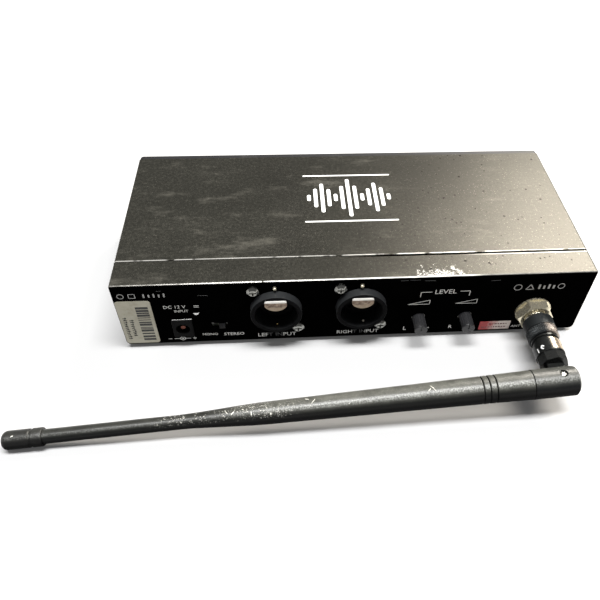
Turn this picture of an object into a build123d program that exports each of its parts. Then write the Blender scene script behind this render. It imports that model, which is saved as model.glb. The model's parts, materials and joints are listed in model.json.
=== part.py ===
from build123d import *
import os
from math import cos, pi, radians, sin, sqrt

# A half-rack wireless audio transmitter: a folded sheet-metal case with its inputs, controls and
# a jointed whip antenna on the rear panel, and its display and buttons on the front.
# Millimetres. +X to the right seen from behind, -Y out of the rear panel, +Z up.
# The origin is on the table under the middle of the case.

# ---- driving dimensions ----------------------------------------------------------------------
CASE_W, CASE_D = 210.0, 94.0
CASE_BOTTOM, CASE_TOP = 2.0, 40.0          # the rubber feet lift the case off the table
SHEET, PANEL_T, BEZEL_T = 1.2, 1.5, 3.0    # cover and tray, rear panel, front bezel
FLANGE, SEAM = 14.6, 0.4                   # the rear pan's folded edge and the gap to the cover
TOP_ROLL, FOLD_ROLL, FOOT_ROLL = 1.0, 0.9, 2.2   # outer radii of cover, panel fold and pan corner
REAR_Y, FRONT_Y = -CASE_D / 2, CASE_D / 2
BOARD_TOP, BOARD_T = 7.0, 1.6
BOARD_W, BOARD_D, BOARD_Y = 196.0, 75.0, -7.5
CONTROL_Y = 37.6                           # front face of the control board

INPUT_X, INPUT_Z = {"left": -36.4, "right": 1.1}, 23.1
LEVEL_X, LEVEL_Z = {"left": 28.2, "right": 50.0}, 13.6
INLET_X, INLET_Z = -78.3, 12.4
MODE_X, MODE_Z, MODE_TRAVEL = -62.0, 13.6, 2.5
ANT_X, ANT_Z = 81.3, 16.2

DISPLAY_X, FRONT_Z = 38.0, 21.0
MENU_X = {"set": -28.0, "down": -14.0, "up": 0.0}
POWER_X, LED_X, VOLUME_X, PHONES_X = 90.0, 76.0, -58.0, -84.0

PIVOT_T = 40.2                             # elbow pin, measured out from the rear panel
WHIP_DROOP, WHIP_SWING = 3.05, 2.0         # degrees below level, degrees outward of square
RUN = 0.05                                 # radial running clearance of pins and spindles

# ---- working planes --------------------------------------------------------------------------
REAR = Plane(origin=(0, REAR_Y, 0), x_dir=(1, 0, 0), z_dir=(0, -1, 0))     # local (x, z)
FRONT = Plane(origin=(0, FRONT_Y, 0), x_dir=(-1, 0, 0), z_dir=(0, 1, 0))   # local (-x, z)
RIGHT = Plane(origin=(CASE_W / 2, 0, 0), x_dir=(0, 1, 0), z_dir=(1, 0, 0))  # local (y, z)


def out_plane(x, z):
    """A half-plane through the rearward axis at (x, z): local x is radius, local y is distance out."""
    return Plane(origin=(x, REAR_Y, z), x_dir=(1, 0, 0), z_dir=(0, 0, -1))


def out_axis(x, z):
    """The axis that leaves the rear panel square at (x, z)."""
    return Axis((x, REAR_Y, z), (0, -1, 0))


# Antenna directions: the pin leans with the droop, the whip lies square to the pin.
droop, swing = radians(WHIP_DROOP), radians(WHIP_SWING)
PIN_DIR = Vector(-sin(droop), 0, cos(droop))
SIDEWAYS = Vector(-cos(droop), 0, -sin(droop))
WHIP_DIR = SIDEWAYS * cos(swing) + Vector(0, -1, 0) * sin(swing)
PIVOT = Vector(ANT_X, REAR_Y - PIVOT_T, ANT_Z)
WHIP_PROFILE = Plane(origin=PIVOT, x_dir=PIN_DIR, z_dir=PIN_DIR.cross(WHIP_DIR))  # (radius, s)
ELBOW = Plane(origin=PIVOT, x_dir=WHIP_DIR, z_dir=PIN_DIR)      # local x along the whip, z along the pin
TONGUE = Plane(origin=PIVOT, x_dir=(0, 1, 0), z_dir=PIN_DIR)    # local x towards the panel
to_panel = ELBOW.y_dir.dot(Vector(0, 1, 0))
PANEL_SIDE = 1 if to_panel > 0 else -1                          # sign of local y on that side

pieces = {}

# ---- sheet-metal case ------------------------------------------------------------------------
case_mid_z = (CASE_BOTTOM + CASE_TOP) / 2
case_h = CASE_TOP - CASE_BOTTOM
COVER_BACK = REAR_Y + FLANGE + SEAM
COVER_FRONT = FRONT_Y - BEZEL_T
SIDE_SCREWS = [(-29, 11), (-29, 31), (0, 9), (30, 9)]           # (y, z) on each side
TRAY_SCREWS = SIDE_SCREWS[2:]
EAR_HOLES = [(34, 20), (34, 35)]
EAR_HOLE_R = 2.05                                               # clears the screws of rack ears
SCREW_R, SCREW_HEAD_R = 1.25, 2.3
FRONT_SCREWS = [(x, 7) for x in (-95, -30, 30, 95)]             # tray to bezel, (x, z)

with BuildPart() as top_cover:
    with BuildSketch(Plane.XZ.offset(-COVER_BACK)) as cover_profile:
        with Locations((0, case_mid_z)):
            Rectangle(CASE_W, case_h)
        fillet(cover_profile.vertices().group_by(Axis.Y)[-1], TOP_ROLL)
        with Locations((0, case_mid_z - SHEET)):
            Rectangle(CASE_W - 2 * SHEET, case_h, mode=Mode.SUBTRACT)
    extrude(amount=-(COVER_FRONT - COVER_BACK))
    with Locations(RIGHT):
        with Locations(*SIDE_SCREWS):
            CounterSinkHole(SCREW_R, SCREW_HEAD_R, depth=2 * SHEET, counter_sink_angle=90)
        with Locations(*EAR_HOLES):
            Hole(EAR_HOLE_R, depth=2 * SHEET)
    with Locations(Plane(origin=(-CASE_W / 2, 0, 0), x_dir=(0, -1, 0), z_dir=(-1, 0, 0))):
        with Locations(*[(-y, z) for y, z in SIDE_SCREWS]):
            CounterSinkHole(SCREW_R, SCREW_HEAD_R, depth=2 * SHEET, counter_sink_angle=90)
        with Locations(*[(-y, z) for y, z in EAR_HOLES]):
            Hole(EAR_HOLE_R, depth=2 * SHEET)
pieces["top_cover"] = top_cover

TRAY_GAP, TRAY_H = 0.2, 12.0                                    # side gap in the cover, flange height
TRAY_W = CASE_W - 2 * SHEET - 2 * TRAY_GAP
TRAY_MID_Z = CASE_BOTTOM + TRAY_H / 2
LIP_Y0, LIP_Y1 = REAR_Y + 9, REAR_Y + 21                        # the rear pan's inner lip
with BuildPart() as base_tray:
    with BuildSketch(Plane.XZ.offset(-COVER_BACK)):
        with Locations((0, TRAY_MID_Z)):
            Rectangle(TRAY_W, TRAY_H)
        with Locations((0, TRAY_MID_Z + SHEET)):
            Rectangle(TRAY_W - 2 * SHEET, TRAY_H, mode=Mode.SUBTRACT)
    extrude(amount=-(COVER_FRONT - TRAY_GAP - COVER_BACK))
    with BuildSketch(Plane.XY.offset(CASE_BOTTOM + SHEET)):     # room for the rear pan's lip
        with Locations((0, (COVER_BACK + LIP_Y1 + SEAM) / 2)):
            Rectangle(CASE_W, LIP_Y1 + SEAM - COVER_BACK)
    extrude(amount=case_h, mode=Mode.SUBTRACT)
    with BuildSketch(FRONT.offset(-BEZEL_T - TRAY_GAP)):        # front flange that the bezel screws to
        with Locations((0, 6)):
            Rectangle(TRAY_W, 8)
        with Locations(*FRONT_SCREWS):
            Circle(SCREW_R, mode=Mode.SUBTRACT)
    extrude(amount=-SHEET)
    with BuildSketch(Plane.YZ.offset(-CASE_W / 2)):
        with Locations(*TRAY_SCREWS):
            Circle(SCREW_R)
    extrude(amount=CASE_W, mode=Mode.SUBTRACT)
pieces["base_tray"] = base_tray

# The rear pan: a wall folded forward all round, with a lip that tucks under cover and tray.
KNOB_HOLE_R, BARREL_R, BUSH_R = 3.4, 11.2, 4.83
LIP_W, PAN_ROLL = 1.0, 0.7                                      # the lip's thickness, the inner corner radius
INPUT_SCREWS = [(-9.5, 12.0), (9.5, -12.0)]                     # about each input's centre
screw_spots = [(x + dx, INPUT_Z + dz) for x in INPUT_X.values() for dx, dz in INPUT_SCREWS]
with BuildPart() as rear_panel:
    with BuildSketch(REAR) as pan_outline:
        with Locations((0, case_mid_z)):
            Rectangle(CASE_W, case_h)
        fillet(pan_outline.vertices().group_by(Axis.Y)[0], FOOT_ROLL)
        fillet(pan_outline.vertices().group_by(Axis.Y)[-1], TOP_ROLL)
    extrude(amount=-FLANGE)
    fillet(rear_panel.faces().sort_by(Axis.Y)[0].edges(), FOLD_ROLL)
    with BuildSketch(REAR.offset(-PANEL_T)):
        with Locations((0, case_mid_z)):
            RectangleRounded(CASE_W - 2 * PANEL_T, case_h - 2 * PANEL_T, PAN_ROLL)
    extrude(amount=-FLANGE, mode=Mode.SUBTRACT)
    with BuildSketch(Plane.XZ.offset(-LIP_Y0)):
        with Locations((0, case_mid_z)):
            RectangleRounded(CASE_W - 2 * PANEL_T, case_h - 2 * PANEL_T, PAN_ROLL)
            Rectangle(CASE_W - 2 * (PANEL_T + LIP_W), case_h - 2 * (PANEL_T + LIP_W), mode=Mode.SUBTRACT)
    extrude(amount=-(LIP_Y1 - LIP_Y0))
    with BuildSketch(REAR):
        with Locations(*[(x, INPUT_Z) for x in INPUT_X.values()]):
            Circle(BARREL_R + 0.25)
        with Locations(*screw_spots):
            Circle(1.6)
        with Locations(*[(x, LEVEL_Z) for x in LEVEL_X.values()]):
            Circle(KNOB_HOLE_R)
        with Locations((ANT_X, ANT_Z)):
            Circle(BUSH_R + 0.12)
        with Locations((INLET_X, INLET_Z)):
            Rectangle(9.4, 11.2)
        with Locations((MODE_X, MODE_Z)):
            Rectangle(7.0, 3.4)
    extrude(amount=-PANEL_T, mode=Mode.SUBTRACT)
    with BuildSketch(Plane.YZ.offset(-CASE_W / 2)):
        with Locations(*SIDE_SCREWS[:2]):
            Circle(SCREW_R)
    extrude(amount=CASE_W, mode=Mode.SUBTRACT)
pieces["rear_panel"] = rear_panel

BELOW = (Align.CENTER, Align.CENTER, Align.MAX)
ABOVE = (Align.CENTER, Align.CENTER, Align.MIN)
SCREW_L, CROSS = 5.0, (3.0, 0.6, 0.5)                           # shank, cross recess
with BuildPart() as cover_screws:
    with Locations(RIGHT):
        with Locations(*SIDE_SCREWS):
            Cone(SCREW_R, SCREW_HEAD_R, SCREW_HEAD_R - SCREW_R, align=BELOW)
            Cylinder(SCREW_R, SCREW_L, align=BELOW)
            Box(*CROSS, align=BELOW, mode=Mode.SUBTRACT)
            Box(CROSS[1], CROSS[0], CROSS[2], align=BELOW, mode=Mode.SUBTRACT)
    mirror(about=Plane.YZ)
pieces["cover_screws"] = cover_screws

NUT_R, NUT_H = 4.0, 3.0                                         # M4 nuts for rack ears
with BuildPart() as ear_nuts:
    with BuildSketch(RIGHT.offset(-SHEET)):
        with Locations(*EAR_HOLES):
            RegularPolygon(NUT_R, 6)
            Circle(EAR_HOLE_R, mode=Mode.SUBTRACT)
    extrude(amount=-NUT_H)
    mirror(about=Plane.YZ)
pieces["ear_nuts"] = ear_nuts

FOOT_R = 7.0
with BuildPart() as rubber_feet:
    with Locations(*[(x, y, 0) for x in (-88, 88) for y in (-22, 34)]):
        Cylinder(FOOT_R, CASE_BOTTOM, align=ABOVE)
    chamfer(rubber_feet.edges().group_by(Axis.Z)[0], 0.5)
pieces["rubber_feet"] = rubber_feet

# ---- front bezel -----------------------------------------------------------------------------
BOSSES = [(70, 33), (40, 33), (-4, 33), (-94, 33)]              # local (-x, z) on FRONT
BUTTON_R, POWER_R, GAP = 2.4, 4.5, 0.3
WINDOW_W, WINDOW_H, WINDOW_LEDGE = 46.0, 20.0, 1.0              # display window and what holds it
LED_R, BOSS_R, BOSS_HOLE_R, BEZEL_ROLL = 1.5, 3.0, 1.1, 0.8
SPINDLE_HOLE_R, PHONES_NECK_R = 3.5, 4.6
with BuildPart() as front_bezel:
    with BuildSketch(FRONT.offset(-BEZEL_T)):
        with Locations((0, case_mid_z)):
            RectangleRounded(CASE_W, case_h, 2.0)
    extrude(amount=BEZEL_T)
    fillet(front_bezel.faces().sort_by(Axis.Y)[-1].edges(), BEZEL_ROLL)
    with BuildSketch(FRONT.offset(-BEZEL_T)):
        with Locations(*BOSSES):
            Circle(BOSS_R)
    extrude(amount=-(COVER_FRONT - CONTROL_Y))
    with BuildSketch(FRONT.offset(-BEZEL_T - 6)):
        with Locations(*BOSSES):
            Circle(BOSS_HOLE_R)
    extrude(amount=7.5, mode=Mode.SUBTRACT)
    with BuildSketch(FRONT.offset(-BEZEL_T)):
        with Locations(*FRONT_SCREWS):
            Circle(SCREW_R)
    extrude(amount=2.0, mode=Mode.SUBTRACT)
    with BuildSketch(FRONT):
        with Locations((-DISPLAY_X, FRONT_Z)):
            Rectangle(WINDOW_W - 2 * WINDOW_LEDGE, WINDOW_H - 2 * WINDOW_LEDGE)
        with Locations(*[(-x, FRONT_Z) for x in MENU_X.values()]):
            Circle(BUTTON_R + GAP)
        with Locations((-POWER_X, FRONT_Z)):
            Circle(POWER_R + GAP)
        with Locations((-LED_X, FRONT_Z)):
            Circle(LED_R)
        with Locations((-VOLUME_X, FRONT_Z)):
            Circle(SPINDLE_HOLE_R)
        with Locations((-PHONES_X, FRONT_Z)):
            Circle(PHONES_NECK_R)
    extrude(amount=-BEZEL_T, mode=Mode.SUBTRACT)
    with BuildSketch(FRONT):
        with Locations((-DISPLAY_X, FRONT_Z)):
            RectangleRounded(WINDOW_W, WINDOW_H, WINDOW_LEDGE)
    extrude(amount=-SHEET, mode=Mode.SUBTRACT)
pieces["front_bezel"] = front_bezel

with BuildPart() as display_window:
    with BuildSketch(FRONT.offset(-SHEET)):
        with Locations((-DISPLAY_X, FRONT_Z)):
            RectangleRounded(WINDOW_W, WINDOW_H, WINDOW_LEDGE)
    extrude(amount=SHEET)
pieces["display_window"] = display_window


PAN_R, PAN_RIM, PAN_DOME = 2.7, 1.0, 0.8                        # a pan head and its two heights


def pan_screws(plane, spots, length):
    """Pan-head screws with a cross recess, heads standing on the plane."""
    with BuildPart() as screws:
        with Locations(plane):
            with Locations(*spots):
                Cylinder(SCREW_R, length, align=BELOW)
                Cylinder(PAN_R, PAN_RIM, align=ABOVE)
        with Locations(plane.offset(PAN_RIM)):
            with Locations(*spots):
                Cone(PAN_R, PAN_R - 1, PAN_DOME, align=ABOVE)
        with Locations(plane.offset(PAN_RIM + PAN_DOME)):
            with Locations(*spots):
                Box(3.0, 0.7, 1.8, mode=Mode.SUBTRACT)
                Box(0.7, 3.0, 1.8, mode=Mode.SUBTRACT)
    return screws


pieces["socket_screws"] = pan_screws(REAR, screw_spots, 4.0)

CASE_INWARD = Plane(origin=(0, COVER_FRONT - TRAY_GAP - SHEET, 0), x_dir=(1, 0, 0), z_dir=(0, -1, 0))
pieces["bezel_screws"] = pan_screws(CASE_INWARD, FRONT_SCREWS, 3.0)

# ---- circuit boards and what stands on them ----------------------------------------------------
STANDOFFS = [(x, y) for x in (-92, -17.5, 92) for y in (-18, 24)]
with BuildPart() as pcb_standoffs:
    with BuildSketch(Plane.XY.offset(CASE_BOTTOM + SHEET)):
        with Locations(*STANDOFFS):
            RegularPolygon(3.2, 6)
            Circle(SCREW_R, mode=Mode.SUBTRACT)
    extrude(amount=BOARD_TOP - BOARD_T - CASE_BOTTOM - SHEET)
pieces["pcb_standoffs"] = pcb_standoffs

with BuildPart() as main_board:
    with BuildSketch(Plane.XY.offset(BOARD_TOP - BOARD_T)):
        with Locations((0, BOARD_Y)):
            Rectangle(BOARD_W, BOARD_D)
        with Locations(*STANDOFFS):
            Circle(SCREW_R, mode=Mode.SUBTRACT)
    extrude(amount=BOARD_T)
pieces["main_board"] = main_board

pieces["pcb_screws"] = pan_screws(Plane.XY.offset(BOARD_TOP), STANDOFFS, 3.6)

CAN_X, CAN_W, CAN_D, CAN_H, CAN_WALL = 46.0, 32.0, 40.0, 6.0, 0.5
with BuildPart() as rf_shield:
    with BuildSketch(Plane.XY.offset(BOARD_TOP)):
        with Locations((CAN_X, 0)):
            Rectangle(CAN_W, CAN_D)
    extrude(amount=CAN_H)
    with BuildSketch(Plane.XY.offset(BOARD_TOP)):
        with Locations((CAN_X, 0)):
            Rectangle(CAN_W - 2 * CAN_WALL, CAN_D - 2 * CAN_WALL)
    extrude(amount=CAN_H - CAN_WALL, mode=Mode.SUBTRACT)
pieces["rf_shield"] = rf_shield

with BuildPart() as capacitors:
    with Locations(*[(-70 + 12 * n, 2 + 3 * (n % 2), BOARD_TOP) for n in range(4)]):
        Cylinder(4.0, 12, align=ABOVE)
    fillet(capacitors.edges().group_by(Axis.Z)[-1], 0.6)
pieces["capacitors"] = capacitors

with BuildPart() as chips:
    with Locations((-22, 4, BOARD_TOP), (2, 12, BOARD_TOP), (20, -2, BOARD_TOP), (78, 16, BOARD_TOP)):
        Box(9, 9, 1.6, align=ABOVE)
pieces["chips"] = chips

with BuildPart() as control_board:
    with BuildSketch(FRONT.offset(CONTROL_Y - FRONT_Y)):
        with Locations((-12, 23)):
            Rectangle(172, 26)
        with Locations(*BOSSES):
            Circle(BOSS_HOLE_R, mode=Mode.SUBTRACT)
    extrude(amount=-BOARD_T)
pieces["control_board"] = control_board

with BuildPart() as display_module:
    with BuildSketch(FRONT.offset(CONTROL_Y - FRONT_Y)):
        with Locations((-DISPLAY_X, FRONT_Z)):
            Rectangle(52, 22)
    extrude(amount=5.6)
pieces["display_module"] = display_module

SWITCH_X = [*MENU_X.values(), POWER_X]
with BuildPart() as tact_switches:
    with BuildSketch(FRONT.offset(CONTROL_Y - FRONT_Y)):
        with Locations(*[(-x, FRONT_Z) for x in SWITCH_X]):
            Rectangle(6, 6)
    extrude(amount=2.6)
    with BuildSketch(FRONT.offset(CONTROL_Y - FRONT_Y)):
        with Locations(*[(-x, FRONT_Z) for x in SWITCH_X]):
            Circle(1.6)
    extrude(amount=3.4)
pieces["tact_switches"] = tact_switches

with BuildPart() as status_led:
    with BuildSketch(FRONT.offset(CONTROL_Y - FRONT_Y)):
        with Locations((-LED_X, FRONT_Z)):
            Circle(LED_R)
    extrude(amount=FRONT_Y + 0.8 - CONTROL_Y)
    fillet(status_led.faces().sort_by(Axis.Y)[-1].edges(), 1.2)
pieces["status_led"] = status_led

# The ribbon leaves a header on the main board and rises to the control board.
with BuildPart() as ribbon_cable:
    with BuildSketch(Plane.YZ.offset(-62)):
        with BuildLine():
            FilletPolyline((26, BOARD_TOP), (26, 14), (CONTROL_Y - BOARD_T, 14), radius=3.5)
        trace(line_width=0.9)
    extrude(amount=20)
pieces["ribbon_cable"] = ribbon_cable

# The coax pigtail from the antenna socket's solder cup to the side wall of the shielding can.
COAX_R = 1.3
COAX_ROUTE = [(ANT_X, -34.5, ANT_Z), (ANT_X, -16, ANT_Z), (ANT_X - 1.3, 4, 10), (CAN_X + CAN_W / 2, 4, 10)]


def fillet_radii(route):
    """One radius per corner: 0.45 of the shorter run over the tangent of half the turn."""
    points = [Vector(*p) for p in route]
    radii = []
    for before, corner, after in zip(points, points[1:], points[2:]):
        run_in, run_out = corner - before, after - corner
        half_turn = radians(run_in.get_angle(run_out) / 2)
        shorter = min(run_in.length, run_out.length)
        radii.append(0.45 * shorter * cos(half_turn) / sin(half_turn))
    return radii


coax_radii = fillet_radii(COAX_ROUTE)
with BuildPart() as coax_cable:
    with BuildLine() as coax_line:
        FilletPolyline(*COAX_ROUTE, radius=coax_radii)
    with BuildSketch(Plane(origin=COAX_ROUTE[0], x_dir=(1, 0, 0), z_dir=(0, 1, 0))):
        Circle(COAX_R)
    sweep()
pieces["coax_cable"] = coax_cable
coax_length = sum(edge.length for edge in coax_line.edges())
print("coax radii", [round(r, 1) for r in coax_radii], "length", round(coax_length, 1),
      "volume ratio", round(coax_cable.part.volume / (pi * COAX_R**2 * coax_length), 3))

# ---- combination inputs ------------------------------------------------------------------------
RIM_T, MOUTH_R, INSERT_R, PLUG_R = 4.2, 9.5, 8.1, 3.25
INSERT_FACE, GROOVE_END, INSERT_END, SHELL_END = -2.5, -18.0, -32.0, -33.5
XLR_RADIUS, XLR_HOLE_R = 4.95, 1.2                              # three pin holes, one at the top
LATCH_W, LATCH_TOP, LATCH_LOW, LATCH_TRAVEL = 9.4, 9.6, 3.7, 1.8


def input_shell(x):
    """The moulded housing: flange behind the panel, round barrel through it, closed at the back."""
    face = Plane(origin=(x, REAR_Y, INPUT_Z), x_dir=(1, 0, 0), z_dir=(0, -1, 0))
    with BuildPart() as shell:
        with BuildSketch(face.offset(-PANEL_T)) as flange:
            Rectangle(26, 30)
        extrude(flange.sketch, amount=-2.5)
        with BuildSketch(face.offset(-4.0)) as body:
            with Locations((0, (BOARD_TOP + 37.3) / 2 - INPUT_Z)):
                Rectangle(24, 37.3 - BOARD_TOP)
        extrude(body.sketch, amount=SHELL_END + 4.0)
        with BuildSketch(face.offset(-PANEL_T)) as barrel:
            Circle(BARREL_R)
        extrude(barrel.sketch, amount=PANEL_T + RIM_T)
        chamfer(shell.faces().sort_by(Axis.Y)[0].edges(), 0.35)
        with BuildSketch(face.offset(RIM_T)) as mouth:
            Circle(MOUTH_R)
        extrude(mouth.sketch, amount=-(RIM_T - INSERT_END), mode=Mode.SUBTRACT)
        with BuildSketch(face.offset(RIM_T)) as notch:
            with Locations((0, 7.3)):
                RectangleRounded(LATCH_W + 0.6, 5.0, 1.2)
        extrude(notch.sketch, amount=-2.7, mode=Mode.SUBTRACT)
        with BuildSketch(face.offset(RIM_T)) as channel:
            with Locations((0, 8.9)):
                Rectangle(4.6, 1.8)
        extrude(channel.sketch, amount=-13, mode=Mode.SUBTRACT)
        with BuildSketch(face) as screw_holes:
            with Locations(*INPUT_SCREWS):
                Circle(SCREW_R)
        extrude(screw_holes.sketch, amount=-4.0, mode=Mode.SUBTRACT)
    return shell


def input_insert(x):
    """The core: jack bore in the middle, three pin holes round it, a ring gap for the plug shell."""
    face = Plane(origin=(x, REAR_Y, INPUT_Z), x_dir=(1, 0, 0), z_dir=(0, -1, 0))
    with BuildPart() as insert:
        with BuildSketch(face.offset(INSERT_FACE)) as core:
            Circle(INSERT_R)
        extrude(core.sketch, amount=INSERT_END - INSERT_FACE)
        chamfer(insert.faces().sort_by(Axis.Y)[0].edges(), 0.5)
        with BuildSketch(face.offset(GROOVE_END)) as seat:
            Circle(MOUTH_R)
        extrude(seat.sketch, amount=INSERT_END - GROOVE_END)
        with BuildSketch(face.offset(INSERT_FACE)) as jack_bore:
            Circle(PLUG_R)
        extrude(jack_bore.sketch, amount=-28.0, mode=Mode.SUBTRACT)
        with BuildSketch(face.offset(INSERT_FACE)) as pin_holes:
            with PolarLocations(XLR_RADIUS, 3, start_angle=90):
                Circle(XLR_HOLE_R)
        extrude(pin_holes.sketch, amount=-14.0, mode=Mode.SUBTRACT)
        with BuildSketch(face.offset(-3.5)) as leaf_slot:
            with Locations((0, -3.8)):
                Rectangle(2.0, 1.6)
        extrude(leaf_slot.sketch, amount=-6.0, mode=Mode.SUBTRACT)
    return insert


def input_latch(x):
    """The sprung lock tab in the top of the mouth: a D-shaped plate on a guide arm."""
    face = Plane(origin=(x, REAR_Y, INPUT_Z), x_dir=(1, 0, 0), z_dir=(0, -1, 0))
    half, shoulder = LATCH_W / 2, 6.6
    with BuildPart() as latch:
        with BuildSketch(face.offset(RIM_T - 0.5)) as plate:
            with BuildLine() as outline:
                Polyline((half, shoulder), (half, LATCH_TOP), (-half, LATCH_TOP), (-half, shoulder))
                ThreePointArc((-half, shoulder), (0, LATCH_LOW), (half, shoulder))
            make_face()
            fillet(plate.vertices().group_by(Axis.Y)[-1], 1.0)
        extrude(plate.sketch, amount=1.0)
        with BuildSketch(face.offset(RIM_T - 0.5)) as arm:
            with Locations((0, 8.95)):
                Rectangle(4.0, 1.0)
        extrude(arm.sketch, amount=-8.0)
    return latch


for side, x in INPUT_X.items():
    pieces[f"{side}_input_shell"] = input_shell(x)
    pieces[f"{side}_input_insert"] = input_insert(x)
    pieces[f"{side}_input_latch"] = input_latch(x)

with BuildPart() as input_contacts:
    for x in INPUT_X.values():
        with BuildSketch(Plane(origin=(x, REAR_Y + 5.0, INPUT_Z), x_dir=(1, 0, 0), z_dir=(0, -1, 0))):
            with PolarLocations(XLR_RADIUS, 3, start_angle=90):
                Circle(XLR_HOLE_R)
                Circle(0.95, mode=Mode.SUBTRACT)
        extrude(amount=-11.5)
        with Locations((x, REAR_Y + 6.5, INPUT_Z - 4.1)):
            Box(1.6, 5.0, 0.8)
pieces["input_contacts"] = input_contacts

# ---- level controls, mode switch and power inlet -----------------------------------------------
KNOB_R, KNOB_OUT, SPINDLE_R, VOLUME_SPINDLE_R = 2.9, 7.7, 1.5, 3.0
with BuildPart() as potentiometers:
    with BuildSketch(REAR.offset(-PANEL_T - 0.1)):
        with Locations(*[(x, (BOARD_TOP + 18.4) / 2) for x in LEVEL_X.values()]):
            Rectangle(9.5, 18.4 - BOARD_TOP)
        with Locations(*[(x, LEVEL_Z) for x in LEVEL_X.values()]):
            Circle(SPINDLE_R + RUN, mode=Mode.SUBTRACT)
    extrude(amount=-6.5)
    with BuildSketch(FRONT.offset(CONTROL_Y - FRONT_Y)):
        with Locations((-VOLUME_X, FRONT_Z)):
            Rectangle(10, 11)
            Circle(VOLUME_SPINDLE_R + RUN, mode=Mode.SUBTRACT)
    extrude(amount=6.0)
pieces["potentiometers"] = potentiometers


def level_knob(x):
    """A slim fluted knob with a pointer slot across its end."""
    face = Plane(origin=(x, REAR_Y, LEVEL_Z), x_dir=(1, 0, 0), z_dir=(0, -1, 0))
    with BuildPart() as knob:
        with BuildSketch(face.offset(-0.9)) as section:
            Circle(KNOB_R)
            Circle(SPINDLE_R, mode=Mode.SUBTRACT)
            with PolarLocations(KNOB_R + 0.12, 16):
                Circle(0.32, mode=Mode.SUBTRACT)
        extrude(section.sketch, amount=0.9 + KNOB_OUT - 1.4)
        with BuildSketch(face.offset(KNOB_OUT - 1.4)) as cap:
            Circle(KNOB_R)
        extrude(cap.sketch, amount=1.4)
        fillet(knob.faces().sort_by(Axis.Y)[0].edges(), 0.4)
        with BuildSketch(face.offset(KNOB_OUT)) as pointer:
            with Locations((0, KNOB_R / 2)):
                Rectangle(0.6, KNOB_R + 0.4)
        extrude(pointer.sketch, amount=-0.4, mode=Mode.SUBTRACT)
    return knob


def spindle(plane, radius, start, end):
    """A plain round shaft along the plane's normal."""
    with BuildPart() as shaft:
        with BuildSketch(plane.offset(start)) as section:
            Circle(radius)
        extrude(section.sketch, amount=end - start)
    return shaft


for side, x in LEVEL_X.items():
    pieces[f"{side}_level_knob"] = level_knob(x)
    level_plane = Plane(origin=(x, REAR_Y, LEVEL_Z), x_dir=(1, 0, 0), z_dir=(0, -1, 0))
    pieces[f"{side}_level_spindle"] = spindle(level_plane, SPINDLE_R, -7.5, KNOB_OUT - 1.4)

with BuildPart() as mode_switch_body:
    with BuildSketch(REAR.offset(-PANEL_T - 0.1)):
        with Locations((MODE_X, (BOARD_TOP + 17.2) / 2)):
            Rectangle(13, 17.2 - BOARD_TOP)
        with Locations((MODE_X, MODE_Z)):
            Rectangle(2.6 + MODE_TRAVEL + 0.6, 2.8, mode=Mode.SUBTRACT)
    extrude(amount=-4.0)
    with BuildSketch(REAR.offset(-PANEL_T - 4.1)):
        with Locations((MODE_X, (BOARD_TOP + 17.2) / 2)):
            Rectangle(13, 17.2 - BOARD_TOP)
    extrude(amount=-2.0)
pieces["mode_switch_body"] = mode_switch_body

with BuildPart() as mode_switch_lever:
    with BuildSketch(REAR.offset(-PANEL_T - 3.8)):
        with Locations((MODE_X + MODE_TRAVEL / 2, MODE_Z)):
            Rectangle(2.6, 2.2)
    extrude(amount=PANEL_T + 3.8 + 1.4)
    chamfer(mode_switch_lever.faces().sort_by(Axis.Y)[0].edges(), 0.25)
pieces["mode_switch_lever"] = mode_switch_lever

INLET_BORE_R, INLET_PIN_R, INLET_PROUD = 3.1, 1.05, 0.8
with BuildPart() as dc_inlet:
    with BuildSketch(REAR.offset(INLET_PROUD)):
        with Locations((INLET_X, INLET_Z)):
            Rectangle(9.0, 10.8)
    extrude(amount=-14.5)
    fillet(dc_inlet.faces().sort_by(Axis.Y)[0].edges(), 0.3)
    with BuildSketch(REAR.offset(INLET_PROUD)):
        with Locations((INLET_X, INLET_Z)):
            Circle(INLET_BORE_R)
    extrude(amount=-10.0, mode=Mode.SUBTRACT)
    with BuildSketch(REAR.offset(INLET_PROUD - 10.0)):
        with Locations((INLET_X, INLET_Z)):
            Circle(INLET_PIN_R)
    extrude(amount=-4.0, mode=Mode.SUBTRACT)
pieces["dc_inlet"] = dc_inlet

inlet_plane = Plane(origin=(INLET_X, REAR_Y, INLET_Z), x_dir=(1, 0, 0), z_dir=(0, -1, 0))
pieces["dc_inlet_pin"] = spindle(inlet_plane, INLET_PIN_R, INLET_PROUD - 14.0, -0.4)

# ---- antenna socket and its plug ---------------------------------------------------------------
SOCKET_BORE, SOCKET_END, LUG_R, NUT_AF = 4.1, 16.0, 5.5, 14.3
NUT_T0, NUT_T1 = 0.8, 5.6
COUPLING_R, COUPLING_T0, KNURL_T0, COUPLING_T1 = 6.8, 7.6, 13.3, 18.1
BARREL_T0, FACET_T, BARREL_T1, PLUG_BARREL_R = 21.6, 27.4, 32.0, 6.3


def turned(x, z, outline):
    """A solid of revolution about the rearward axis at (x, z), from (radius, distance out) points."""
    with BuildPart() as solid:
        with BuildSketch(out_plane(x, z)) as section:
            with BuildLine():
                Polyline(*outline, close=True)
            make_face()
        revolve(section.sketch, axis=out_axis(x, z))
    return solid


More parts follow.
